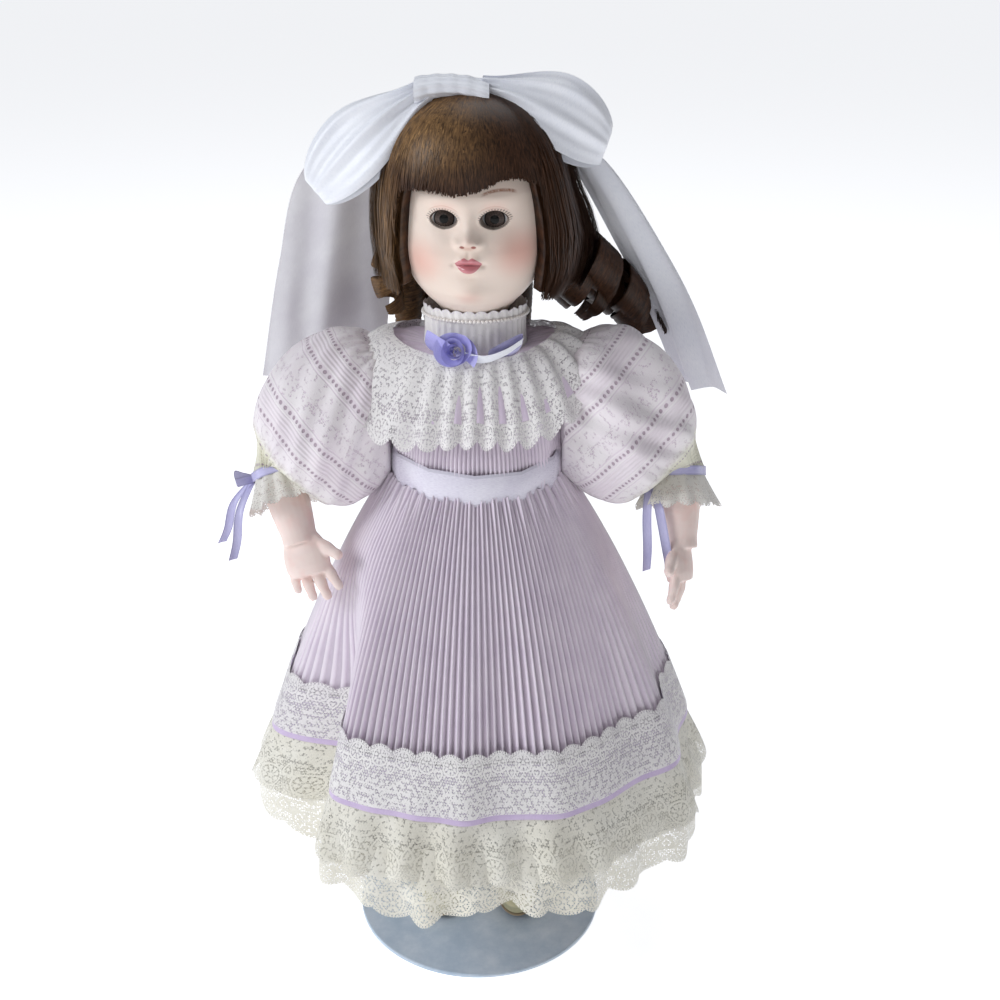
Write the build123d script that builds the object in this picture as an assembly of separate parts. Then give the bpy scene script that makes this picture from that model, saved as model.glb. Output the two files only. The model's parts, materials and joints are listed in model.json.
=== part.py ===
from build123d import *
import math
import os

# A sixteen-inch porcelain collector's doll on a round metal stand, in millimetres.
# The origin is the middle of the stand base's underside. +Z is up and the doll faces -Y,
# so the doll's own left side is +X.

# ---------------------------------------------------------------- driving sizes
BASE_RADIUS = 63.5
BASE_THICK = 2.0
ROD_RADIUS = 3.0
ROD_BOTTOM = 22.0
TUBE_WALL = 0.9
TUBE_TOP = 112.0
RUN_GAP = 0.08
SCREW_RADIUS = 1.45
SCREW_HEAD_RADIUS = 2.8
SCREW_HEAD_HIGH = 1.4
PLUG_HIGH = 14.0

BODY_RADIUS = 36.0
CLIP_Z = 208.0
CLIP_WIRE = 1.2
CLIP_VINYL = 0.8
CLIP_MOUTH_DEG = 100.0
HUB_RADIUS = 4.0
HUB_HIGH = 8.0

SEAT = 0.3
CLOTH = 1.2
PORCELAIN = 3.0

HIP_Z = 171.5
LEG_X = 20.0
THIGH_RADIUS = 12.5
KNEE_Z = 100.0
SOLE_Z = 4.5
SOLE_THICK = 1.7
FOOT_HALF_LONG = 18.5
FOOT_HALF_WIDE = 10.0

WAIST_Z = 255.0
SASH_LOW, SASH_HIGH = 249.0, 264.0
BAND_TOP, BAND_LOW = 148.0, 118.0
RUFFLE_LOW = 86.0
PETTICOAT_LOW, LACE_LOW = 100.0, 66.0

NECK_Z = 319.0
NECK_RADIUS = 13.3
BOLT_RADIUS = 2.0
SPRING_WIRE = 0.5
SPRING_HIGH = 10.0
WASHER_HIGH = 1.0
NUT_HIGH = 3.0
BOLT_TIP = 2.0
EYE_RADIUS = 8.0
EYE_X, EYE_Y, EYE_Z = 10.5, -20.4, 372.0
EYE_OPENING = (6.0, 4.3)
NOSE, NOSE_RADIUS = (0, -34.8, 364), 3.0
EAR, EAR_RADIUS = (32.0, 3, 361), 4.2
RIBBON_THICK = 0.8
KNOT, KNOT_SIZE = (-9.0, -3.0, 421.5), (26, 24, 9)

ARMHOLE_X = BODY_RADIUS + 3.2
SHOULDER_Y, SHOULDER_Z = 2.0, 293.0
ARM_RADIUS = 8.7
ELBOW_RADIUS = 8.6
ELBOW_NECK = 4.5
ARM_TO_ELBOW = (45.0, -6.0, -37.0)
FOREARM_LONG = 36.0
PALM_HALF_WIDE = 10.2
FINGER_RADIUS = 2.6


# ---------------------------------------------------------------- helpers
def oval(z, rx, ry, x=0.0, y=0.0):
    """A flat oval at height z; its longer axis is always drawn first, so lofts don't twist."""
    if ry > rx:
        return Pos(x, y, z) * Rot(0, 0, 90) * Ellipse(ry, rx)
    return Pos(x, y, z) * Ellipse(rx, ry)


def stack(rows, smooth=False, grow=0.0):
    """A closed solid through (z, rx, ry[, x, y]) ovals, each made larger by grow."""
    return loft([oval(r[0], r[1] + grow, r[2] + grow, *r[3:]) for r in rows], ruled=not smooth)


def wall(rows, thick, smooth=False):
    """An open-ended shell whose outer surface runs through the rows."""
    return stack(rows, smooth) - stack(rows, smooth, -thick)


def radii_at(rows, z):
    """The (rx, ry) of a stack of ovals at height z, straight between its rows."""
    rows = sorted(rows)
    for (z0, a0, b0), (z1, a1, b1) in zip(rows, rows[1:]):
        if z <= z1:
            break
    share = (z - z0) / (z1 - z0)
    return a0 + (a1 - a0) * share, b0 + (b1 - b0) * share


def between(rows, low, high, grow=0.0):
    """The rows from height low to high, with both ends worked out, each grown by grow."""
    inside = [r for r in rows if low < r[0] < high]
    ends = [(z, *radii_at(rows, z)) for z in (low, high)]
    return [(z, a + grow, b + grow) for z, a, b in sorted(inside + ends)]


def along(start, direction, rows, smooth=False):
    """A round tapered limb: rows are (distance, radius) from start in that direction."""
    plane = Plane(origin=start, z_dir=direction)
    return plane * loft([Pos(0, 0, d) * Circle(r) for d, r in rows], ruled=not smooth)


def strip(start, end, across, width, thick):
    """A flat ribbon from start to end, its width running along across."""
    run = Vector(*end) - Vector(*start)
    plane = Plane(origin=start, x_dir=across, z_dir=run)
    return plane * Pos(0, 0, run.length / 2) * Box(width, thick, run.length)


def mirrored(vector, side):
    """The doll's left is side +1 and its right is side -1."""
    return (vector[0] * side, vector[1], vector[2])


def save(node, *solids):
    """Writes one node, made of one or more separate solids."""
    found = [s for shape in solids for s in shape.solids()]
    export_step(found[0] if len(found) == 1 else Compound(found), f"parts/{node}.step")


os.makedirs("parts", exist_ok=True)
SIDES = (("left", 1), ("right", -1))
up = (Align.CENTER, Align.CENTER, Align.MIN)
down = (Align.CENTER, Align.CENTER, Align.MAX)
waist_radius = BODY_RADIUS + 2.4
sash_radius = waist_radius + 0.4 + CLOTH + 0.6

# ---------------------------------------------------------------- stand
clip_ring = BODY_RADIUS + SEAT + CLIP_WIRE + CLIP_VINYL
post_y = clip_ring + HUB_RADIUS + CLIP_WIRE / 2
tube_inner = ROD_RADIUS + RUN_GAP
post = Pos(0, post_y, 0)

screw_hole = Cylinder(SCREW_RADIUS + 0.15, BASE_THICK * 3)
head_seat = Cone(SCREW_HEAD_RADIUS + 0.2, SCREW_RADIUS, SCREW_HEAD_HIGH + 0.2, align=up)
plate = Cylinder(BASE_RADIUS, BASE_THICK, align=up)
plate = fillet(plate.edges().group_by(Axis.Z)[-1], BASE_THICK * 0.4)
save("stand_base", plate - post * screw_hole - post * head_seat)

screw_head = Cone(SCREW_HEAD_RADIUS, SCREW_RADIUS, SCREW_HEAD_HIGH, align=up)
shank = Cylinder(SCREW_RADIUS, PLUG_HIGH - 2.0, align=up)
slot = Box(SCREW_HEAD_RADIUS * 2, 0.7, 1.0)
save("post_screw", post * Pos(0, 0, 0.1) * (screw_head + shank - slot))

tube_long = TUBE_TOP - BASE_THICK
tube = Cylinder(tube_inner + TUBE_WALL, tube_long, align=up)
tube -= Cylinder(tube_inner, tube_long, align=up)
save("stand_tube", post * Pos(0, 0, BASE_THICK) * tube)

plug = Cylinder(tube_inner - 0.02, PLUG_HIGH, align=up)
plug -= Cylinder(SCREW_RADIUS + 0.03, PLUG_HIGH, align=up)
save("tube_plug", post * Pos(0, 0, BASE_THICK) * plug)

rod_top = CLIP_Z + HUB_HIGH / 2 - 1.0
rod = Cylinder(ROD_RADIUS, rod_top - ROD_BOTTOM, align=up)
save("stand_rod", post * Pos(0, 0, ROD_BOTTOM) * rod)

# The clip's wire goes round the body's waist and stops each side of an open mouth in front.
half_mouth = CLIP_MOUTH_DEG / 2
wire_path = CenterArc((0, 0), clip_ring, -90 + half_mouth, 360 - CLIP_MOUTH_DEG)
wire = sweep(Plane(wire_path @ 0, z_dir=wire_path % 0) * Circle(CLIP_WIRE), path=wire_path)
hub = post * Cylinder(HUB_RADIUS, HUB_HIGH)
hub_bore = post * Pos(0, 0, -1.0) * Cylinder(ROD_RADIUS + 0.02, HUB_HIGH)
save("waist_clip", Pos(0, 0, CLIP_Z) * (wire + hub - hub_bore))

vinyl = []
for start in (-90 + half_mouth + 3, 130):
    arc = CenterArc((0, 0), clip_ring, start, 90 + 47 - half_mouth - 10)
    ring_plane = Plane(arc @ 0, z_dir=arc % 0)
    outer = sweep(ring_plane * Circle(CLIP_WIRE + CLIP_VINYL), path=arc)
    inner = sweep(ring_plane * Circle(CLIP_WIRE + 0.03), path=arc)
    vinyl.append(Pos(0, 0, CLIP_Z) * (outer - inner))
save("clip_sleeves", *vinyl)

# ---------------------------------------------------------------- cloth body and shoulder plate
TORSO = [
    (HIP_Z + THIGH_RADIUS + SEAT, BODY_RADIUS * 0.8, BODY_RADIUS * 0.8),
    (192, BODY_RADIUS - 2, BODY_RADIUS - 2),
    (200, BODY_RADIUS, BODY_RADIUS),
    (262, BODY_RADIUS, BODY_RADIUS),
    (270, BODY_RADIUS - 4.5, BODY_RADIUS - 9),
    (286, BODY_RADIUS - 5, BODY_RADIUS - 10),
    (296, BODY_RADIUS - 14, BODY_RADIUS - 18),
]
save("torso", stack(TORSO))

PLATE = [
    (274, BODY_RADIUS - 1.6, BODY_RADIUS - 6),
    (290, BODY_RADIUS - 1.6, BODY_RADIUS - 7),
    (300, BODY_RADIUS - 5, BODY_RADIUS - 12),
    (308, 22, 19),
    (314, NECK_RADIUS + 3, NECK_RADIUS + 2.9),
    (NECK_Z, NECK_RADIUS + 2.7, NECK_RADIUS + 2.6),
]
plate_in = [(z, a - PORCELAIN + 0.5, b - PORCELAIN + 0.5) for z, a, b in PLATE[:-1]]
plate_in.append((NECK_Z - PORCELAIN, PLATE[-1][1] - PORCELAIN, PLATE[-1][2] - PORCELAIN))
neck_hole = Pos(0, 0, NECK_Z) * Cylinder(BOLT_RADIUS + 0.2, PORCELAIN * 4)
save("shoulder_plate", stack(PLATE) - stack(plate_in) - neck_hole)

# ---------------------------------------------------------------- neck bolt, spring, washer, nut
head_floor = NECK_Z + SEAT
bolt_top = head_floor + PORCELAIN + 0.1
spring_top = NECK_Z - PORCELAIN - 0.2
washer_top = spring_top - SPRING_HIGH
bolt_bottom = washer_top - WASHER_HIGH - NUT_HIGH - BOLT_TIP
bolt = Pos(0, 0, bolt_top) * Cylinder(BOLT_RADIUS * 2, 2.5, align=up)
bolt += Pos(0, 0, bolt_bottom) * Cylinder(BOLT_RADIUS, bolt_top - bolt_bottom, align=up)
save("neck_bolt", bolt - Pos(0, 0, bolt_top + 2.5) * Box(BOLT_RADIUS * 4, 0.8, 2.0))

coil_radius = BOLT_RADIUS + 0.3 + SPRING_WIRE
coil = Helix(pitch=2.2, height=SPRING_HIGH - 2 * SPRING_WIRE, radius=coil_radius)
spring = sweep(Plane(coil @ 0, z_dir=coil % 0) * Circle(SPRING_WIRE), path=coil, is_frenet=True)
save("neck_spring", Pos(0, 0, washer_top + SPRING_WIRE + 0.02) * spring)

washer = Cylinder(BOLT_RADIUS * 2.4, WASHER_HIGH, align=down)
washer -= Cylinder(BOLT_RADIUS + 0.1, WASHER_HIGH * 3)
save("neck_washer", Pos(0, 0, washer_top - 0.02) * washer)

nut = extrude(RegularPolygon(BOLT_RADIUS * 1.9, 6), -NUT_HIGH)
nut -= Cylinder(BOLT_RADIUS + 0.05, NUT_HIGH * 3)
save("neck_nut", Pos(0, 0, washer_top - WASHER_HIGH - 0.04) * nut)

# ---------------------------------------------------------------- head
HEAD = [
    (head_floor, NECK_RADIUS, NECK_RADIUS + 0.2, 0, 0),
    (326, NECK_RADIUS + 0.7, NECK_RADIUS + 1.0, 0, 0),
    (331, 17, 19, 0, -3),
    (338, 24.5, 26.5, 0, -4),
    (348, 30, 31, 0, -3),
    (360, 32.2, 33.5, 0, -2),
    (373, 32.5, 34, 0, -1),
    (386, 30.5, 32.5, 0, 0),
    (395, 26, 28.5, 0, 1),
    (401, 20, 22, 0, 2),
]
HEAD_IN = [(head_floor + PORCELAIN, *HEAD[0][1:])] + HEAD[1:]
head_outer = stack(HEAD, smooth=True)
head_inner = stack(HEAD_IN, smooth=True, grow=-PORCELAIN)
head = head_outer + Pos(*NOSE) * Sphere(NOSE_RADIUS)
for side in (1, -1):
    head += Pos(*mirrored(EAR, side)) * Sphere(EAR_RADIUS)
head -= head_inner
head -= Pos(0, 0, head_floor) * Cylinder(BOLT_RADIUS + 0.2, PORCELAIN * 4)
eye_cut = Plane.XZ * extrude(Ellipse(*EYE_OPENING), 60)
for side in (1, -1):
    head -= Pos(EYE_X * side, 0, EYE_Z) * eye_cut
save("head", head)

crown = [(HEAD[-1][0] + SEAT, 19.6, 21.6, 0, 2), (405.5, 13.5, 15.5, 0, 2), (408, 4, 5, 0, 2)]
save("crown_pate", stack(crown))

eyes = [Pos(EYE_X * side, EYE_Y, EYE_Z) * Sphere(EYE_RADIUS) for side in (1, -1)]
save("eyes", *eyes)
plaster = []
for side in (1, -1):
    cup = Sphere(EYE_RADIUS + 1.6) - Sphere(EYE_RADIUS + 0.1)
    cup -= Pos(0, -EYE_RADIUS * 2 + 1, 0) * Box(40, EYE_RADIUS * 4, 40)
    plaster.append(Pos(EYE_X * side, EYE_Y, EYE_Z) * cup)
save("eye_plaster", *plaster)

# ---------------------------------------------------------------- wig and ringlets
WIG = [
    (338, 38, 38, 0, 7),
    (350, 45, 41, 0, 6),
    (370, 46.5, 42, 0, 5),
    (390, 42, 40, 0, 4),
    (405, 32, 33, 0, 3),
    (414, 21, 22, 0, 3),
    (420, 7, 8, 0, 3),
]
wig_outer = stack(WIG, smooth=True)
WIG_IN = [(330, 32.5, 33.5, 0, -2), (348, 32.5, 33.5, 0, -2)] + HEAD[5:] + [(409, 15, 17, 0, 2)]
wig_inner = stack(WIG_IN, smooth=True, grow=0.8)
face_gap = Plane.XZ * extrude(RectangleRounded(58, 66, 16), 60)
ear_gap = Pos(0, 3, 361) * Box(73.4, 10, 10)
wig = wig_outer - wig_inner - Pos(0, -8, 354) * face_gap - ear_gap
save("wig", wig)


def ringlet(top, direction, long, radius):
    """One hanging curl, a little fuller in the middle and round at its end."""
    rows = [(0, radius * 0.75), (long * 0.35, radius), (long * 0.8, radius * 0.9), (long, radius * 0.45)]
    return along(top, direction, rows, smooth=True)


RINGLETS_LEFT = [
    ((31, 29, 352), (0.45, 0.30, -0.95), 52, 7.0),
    ((34, 24, 358), (0.78, 0.42, -0.78), 68, 7.5),
    ((20, 35, 350), (0.40, 0.30, -1.0), 50, 7.0),
]
RINGLETS_BACK = [((x, 46 - x * x * 0.012, 343), (x * 0.004, 0.1, -1.0), 46, 7.2) for x in (-26, -11, 4)]
save("ringlets_left", *[ringlet(*r) - wig_outer for r in RINGLETS_LEFT])
save("ringlets_back", *[ringlet(*r) - wig_outer for r in RINGLETS_BACK])

# ---------------------------------------------------------------- hair bow
wig_clear = stack([(z, a + SEAT, b + SEAT, x, y) for z, a, b, x, y in WIG], smooth=True)
knot = Pos(*KNOT) * Rot(0, 8, 0) * Box(*KNOT_SIZE)
knot = fillet(knot.edges(), 3.5)
save("bow_knot", knot - wig_clear)
loop_rows = [(1, 7, 4.5), (16, 15, 8), (38, 20, 10), (54, 18, 8), (61, 9, 4)]
BOW_LOOPS = {"left": ((3.0, -2, 421.0), (54, -2, -19)), "right": ((-21.0, -2, 421.0), (-45, 0, -40))}
loops = {}
for name, _ in SIDES:
    start, run = BOW_LOOPS[name]
    plane = Plane(origin=start, x_dir=(0, 1, 0), z_dir=run)
    loop = plane * loft([oval(*row) for row in loop_rows])
    loops[name] = (loop - wig_clear - knot).solids().sort_by(SortBy.VOLUME)[-1]
    save(f"bow_loop_{name}", loops[name])
TAIL_OUTLINE = [(6, 0), (-14, -8), (-44, -14), (-60, -60), (-78, -140), (-18, -134), (-6, -60)]
tail_plane = Plane(origin=(-28, 20, 414), x_dir=(1, 0, 0), z_dir=(0, -0.976, -0.216))
tail = tail_plane * extrude(make_face(Polyline(*TAIL_OUTLINE, close=True)), RIBBON_THICK)
save("bow_tail_right", (tail - wig_clear).solids().sort_by(SortBy.VOLUME)[-1])
tail = strip((37, 20, 408), (108, 44, 274), (0.35, 0.94, 0.1), 34, RIBBON_THICK)
tail -= wig_clear + loops["left"]
save("bow_tail_left", tail.solids().sort_by(SortBy.VOLUME)[-1])

# ---------------------------------------------------------------- arms, sleeves, cuffs
def hand():
    """A palm, four fingers and a thumb, drawn down local +Z from the wrist, thumb towards local +X."""
    palm = loft([oval(*r) for r in ((0, 7.6, 6.4), (6, 9.6, 5.6), (14, PALM_HALF_WIDE, 4.6), (18, 9.4, 3.6))])
    for i, long in enumerate((11.5, 13.5, 13.0, 10.0)):
        x = PALM_HALF_WIDE * (0.72 - 0.48 * i)
        finger = Cone(FINGER_RADIUS, FINGER_RADIUS * 0.8, long, align=up)
        finger += Pos(0, 0, long) * Sphere(FINGER_RADIUS * 0.8)
        palm += Pos(x, 0, 15) * Rot(0, (1.5 - i) * 7, 0) * finger
    thumb = Cone(FINGER_RADIUS * 1.15, FINGER_RADIUS * 0.85, 13, align=up)
    thumb += Pos(0, 0, 13) * Sphere(FINGER_RADIUS * 0.85)
    return palm + Pos(PALM_HALF_WIDE * 0.55, 0, 5) * Rot(0, 48, 0) * thumb


FOREARM_DIR = {"left": (0.02, -0.42, -0.90), "right": (0.30, -0.46, -0.83)}
THUMB_DIR = {"left": (-0.35, -0.85, 0.35), "right": (0.88, -0.25, 0.2)}
RIBBON_END = {"left": (78, -31, 211), "right": (-119, -14, 217)}
upper_long = math.dist((0, 0, 0), ARM_TO_ELBOW)
shoulder = (ARMHOLE_X + ARM_RADIUS + 0.1, SHOULDER_Y, SHOULDER_Z)
elbow = tuple(a + b for a, b in zip(shoulder, ARM_TO_ELBOW))

cloth_end = upper_long - ELBOW_RADIUS - SEAT
slim = ARM_RADIUS * 0.97
upper_arm = along(shoulder, ARM_TO_ELBOW, [(0, slim), (cloth_end - 6, slim), (cloth_end + 3, ELBOW_NECK)])
upper_arm = upper_arm + Pos(*shoulder) * Sphere(ARM_RADIUS) - Pos(*elbow) * Sphere(ELBOW_RADIUS + SEAT)
upper_arm = upper_arm.solids().sort_by(SortBy.VOLUME)[-1]

# The puffed sleeve is gathered at the armhole and again at the cuff. It stays outside the bodice and
# the sash while it turns about the shoulder.
PUFF = [(-6, 16), (6, 22), (16, 28), (30, 32.5), (44, 31), (55, 24), (62, 14)]
puff = along((ARMHOLE_X + 5.8, 1, 297), (47, -4, -40), PUFF, smooth=True)
arm_gap = ARM_RADIUS + SEAT + 0.2
puff -= along(shoulder, ARM_TO_ELBOW, [(-30, arm_gap), (upper_long, arm_gap)])
puff -= Pos(*elbow) * Sphere(ELBOW_RADIUS + SEAT + 1.0)
puff -= Pos(0, 0, SHOULDER_Z) * Box(ARMHOLE_X * 2, 200, 200)
sash_clear = Box(sash_radius * 2 + 1, 200, 200) - Rot(0, 90, 0) * Cylinder(SHOULDER_Z - SASH_HIGH - 5, 200)
puff -= Pos(0, SHOULDER_Y, SHOULDER_Z) * sash_clear

CUFF = [(5.5, 11.9), (9, 12.3), (22, 17.0)]
for name, side in SIDES:
    arm_plane = Plane(origin=mirrored(elbow, side), x_dir=THUMB_DIR[name], z_dir=FOREARM_DIR[name])
    save(f"upper_arm_{name}", upper_arm if side > 0 else mirror(upper_arm, about=Plane.YZ))

    fore = Sphere(ELBOW_RADIUS)
    fore += stack([(0, 7.0, 6.9), (4, 7.6, 7.5), (14, 9.8, 9.6), (24, 9.6, 9.2), (FOREARM_LONG, 7.8, 6.8)])
    save(f"forearm_{name}", arm_plane * (fore + Pos(0, 0, FOREARM_LONG - 1) * hand()))

    save(f"cuff_{name}", arm_plane * wall([(z, r, r) for z, r in CUFF], CLOTH))

    band = wall([(4.4, 12.7, 12.7), (8.6, 13.1, 13.1)], 0.6)
    tie_point = arm_plane.from_local_coords((0, 0, 7.0))
    end = Vector(*RIBBON_END[name])
    outward = (Vector(end.X, end.Y, 0) - Vector(tie_point.X, tie_point.Y, 0)).normalized()
    knot_at = tie_point + outward * 14.6
    across = outward.cross(Vector(0, 0, 1))
    ribbon_tail = strip(tuple(knot_at), tuple(end), across, 4.0, RIBBON_THICK) + Pos(*knot_at) * Sphere(2.2)
    cuff_room = arm_plane * stack([(-20, 13.4, 13.4), (9, 13.4, 13.4), (24, 18.2, 18.2), (60, 30, 30)])
    save(f"wrist_ribbon_{name}", arm_plane * band, ribbon_tail - cuff_room)

    fore_room = arm_plane * stack([(0.5, 13.0, 13.0), (8.6, 13.4, 13.4), (22, 17.3, 17.3), (50, 20, 20)])
    fore_room += strip(tuple(knot_at), tuple(end), across, 5.0, 1.6) + Pos(*knot_at) * Sphere(2.6)
    sleeve = (puff if side > 0 else mirror(puff, about=Plane.YZ)) - fore_room
    save(f"sleeve_{name}", sleeve.solids().sort_by(SortBy.VOLUME)[-1])

# ---------------------------------------------------------------- legs, bloomers, socks, shoes
for name, side in SIDES:
    at = (side * LEG_X, 0)
    thigh = stack([(KNEE_Z + SEAT, 11.2, 11.2), (HIP_Z, THIGH_RADIUS, THIGH_RADIUS)])
    thigh = thigh + Pos(0, 0, HIP_Z) * Sphere(THIGH_RADIUS)
    spigot = Pos(0, 0, KNEE_Z - 1) * Cylinder(7.0, 13, align=up)
    save(f"upper_leg_{name}", Pos(*at, 0) * (thigh - Pos(0, 0, KNEE_Z) * Cylinder(7.15, 12.4, align=up)))

    foot_low = SOLE_Z + SOLE_THICK + CLOTH + 0.2
    calf = stack(
        [
            (foot_low + 9, 7.0, 7.4),
            (34, 7.2, 7.6),
            (58, 9.4, 10.0),
            (78, 10.6, 11.2),
            (KNEE_Z, 10.9, 11.1),
        ]
    )
    foot_y = 13.0 - FOOT_HALF_LONG
    FOOT = [
        (foot_low, FOOT_HALF_WIDE - 1.5, FOOT_HALF_LONG - 2, 0, foot_y),
        (foot_low + 4, FOOT_HALF_WIDE, FOOT_HALF_LONG, 0, foot_y),
        (foot_low + 9, FOOT_HALF_WIDE - 1.2, FOOT_HALF_LONG - 4, 0, foot_y + 3),
        (foot_low + 14, 7.6, 8.2, 0, 0.4),
    ]
    foot = stack(FOOT)
    save(f"lower_leg_{name}", Pos(*at, 0) * (calf + foot + spigot))

    sock_rows = [(26, 8.6, 9.0), (34, 8.6, 9.0), (52, 10.2, 10.8)]
    save(f"sock_{name}", Pos(*at, 0) * (stack(sock_rows) - stack(sock_rows, grow=-0.5) - calf))

    shoe_top = foot_low + 8
    shoe = stack(FOOT, grow=CLOTH + 0.2) - stack(FOOT, grow=0.2)
    shoe = shoe & (Pos(0, 0, foot_low) * Box(80, 80, shoe_top - foot_low, align=up))
    insole = stack([(foot_low - CLOTH, *FOOT[0][1:]), (foot_low - 0.1, *FOOT[0][1:])], grow=CLOTH)
    sole = stack([(SOLE_Z, *FOOT[0][1:]), (SOLE_Z + SOLE_THICK, *FOOT[0][1:])], grow=CLOTH + 0.8)
    upper = (shoe + insole).solids()
    save(f"shoe_{name}", *[Pos(*at, 0) * s for s in upper], Pos(*at, 0) * sole)

    leg_rows = [(112, 15.5, 15.5), (126, 14.0, 14.0), (158, 14.2, 14.2)]
    save(f"bloomer_leg_{name}", Pos(*at, 0) * (stack(leg_rows) - stack(leg_rows, grow=-1.2)))

# ---------------------------------------------------------------- dress
BODICE = [
    (WAIST_Z + SEAT, waist_radius, waist_radius),
    (264, BODY_RADIUS + 2.0, BODY_RADIUS + 2.0),
    *[(z, a + 0.4 + CLOTH, b + 0.4 + CLOTH) for z, a, b in PLATE[:4]],
]
save("bodice", wall(BODICE, CLOTH))

SKIRT = [
    (BAND_LOW, 99, 88),
    (145, 87, 80),
    (170, BODY_RADIUS + 37, BODY_RADIUS + 32),
    (200, BODY_RADIUS + 25, BODY_RADIUS + 20.5),
    (SASH_LOW - 5, BODY_RADIUS + 7, BODY_RADIUS + 6.6),
    (SASH_LOW, waist_radius, waist_radius),
    (WAIST_Z, waist_radius, waist_radius),
]
save("skirt", wall(SKIRT, CLOTH))
save("hem_band", wall(between(SKIRT, BAND_LOW, BAND_TOP, SEAT + 1.0), 1.0))

RUFFLE = [
    (RUFFLE_LOW, SKIRT[0][1] + 17, SKIRT[0][2] + 6),
    (BAND_LOW - SEAT, SKIRT[0][1], SKIRT[0][2]),
]
save("hem_ruffle", wall(RUFFLE, CLOTH))

under = -CLOTH - 0.4
PETTICOAT = [(z, a + under, b + under) for z, a, b in SKIRT if z < SASH_LOW - 10]
ruffle_at = radii_at(RUFFLE, PETTICOAT_LOW)
PETTICOAT = [(PETTICOAT_LOW, ruffle_at[0] + under, ruffle_at[1] + under)] + PETTICOAT
PETTICOAT += [(SASH_LOW - 14, *[r + under for r in radii_at(SKIRT, SASH_LOW - 14)])]
PETTICOAT += [(z, BODY_RADIUS + 1.1, BODY_RADIUS + 1.1) for z in (SASH_LOW - 6, SASH_LOW - 1)]
save("petticoat", wall(PETTICOAT, 0.8))
low = radii_at(RUFFLE, RUFFLE_LOW)
LACE = [
    (LACE_LOW, low[0] + 8, low[1] + 1),
    (RUFFLE_LOW, low[0] + under - 1, low[1] + under - 1),
    (PETTICOAT_LOW - SEAT, *PETTICOAT[0][1:]),
]
save("petticoat_lace", wall(LACE, CLOTH))

sash_rows = [(SASH_LOW, sash_radius, sash_radius), (SASH_HIGH, sash_radius, sash_radius)]
save("sash", wall(sash_rows, CLOTH + 0.6))
sash_mid = (SASH_LOW + SASH_HIGH) / 2
bow = Pos(0, sash_radius + 3.3, sash_mid) * fillet(Box(8, 6, 9).edges(), 2)
for side in (1, -1):
    loop_start = (side * 3.5, sash_radius + 3.8, sash_mid)
    bow += along(loop_start, (side, 0.12, 0.1), [(0, 3), (10, 7.5), (22, 7), (27, 3)])
    tail_start, tail_end = (side * 2, sash_radius + 4, sash_mid), (side * 15, sash_radius + 26, 195)
    bow += strip(tail_start, tail_end, (1, 0, 0.2), 9, RIBBON_THICK)
bow_room = Cylinder(sash_radius + SEAT, 100)
skirt_room = stack(between(SKIRT, BAND_LOW, SASH_LOW - 5, SEAT))
save("sash_bow", bow - Pos(0, 0, sash_mid) * bow_room - skirt_room)

COLLAR = [
    (270, ARMHOLE_X - 0.6, BODY_RADIUS + 2.6),
    (290, ARMHOLE_X - 0.6, BODY_RADIUS - 2.5),
    (302, ARMHOLE_X - 4.6, BODY_RADIUS - 7),
    (309, 25.5, 24.5),
]
save("collar", wall(COLLAR, CLOTH))

BAND_FOOT, BAND_HEAD = 309.5, 328.0
NECKBAND_RADIUS = 22.4
PEARL = 0.6
neck_rows = [(z, NECKBAND_RADIUS, NECKBAND_RADIUS) for z in (BAND_FOOT, BAND_HEAD)]
save("neckband", wall(neck_rows, CLOTH))
save("pearl_string", Pos(0, 0, BAND_HEAD - 2) * Torus(NECKBAND_RADIUS + PEARL + 0.05, PEARL))
ROSETTE = (-8.0, -27.6, 314.6)
ribbon_rows = [(z, NECKBAND_RADIUS + 1.1, NECKBAND_RADIUS + 1.1) for z in (310.5, 315.5)]
rosette_ball = Pos(*ROSETTE) * Sphere(5.0)
save("rosette", rosette_ball - stack(COLLAR, grow=SEAT) - stack(neck_rows, grow=SEAT))
front = Pos(4, -20, 312) * Box(44, 30, 20)
save("neck_ribbon", (wall(ribbon_rows, RIBBON_THICK) & front) - Pos(*ROSETTE) * Sphere(5.3))
print("wrote", len(os.listdir("parts")), "nodes")
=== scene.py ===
# %% [markdown]
# # A porcelain doll on a stand
# This lesson dresses a finished mechanical model of a sixteen-inch porcelain doll. The hard parts, joints
# and sizes come from the imported frame. Blender adds what a machine model can't: a painted face, hair,
# pleated satin, gathered lace and ribbon. The frame is loaded first, because every piece takes its place
# from it.

# %% Load the frame
import json
import math
import bpy
import bmesh
import numpy as np
from mathutils import Matrix, Vector


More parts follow.
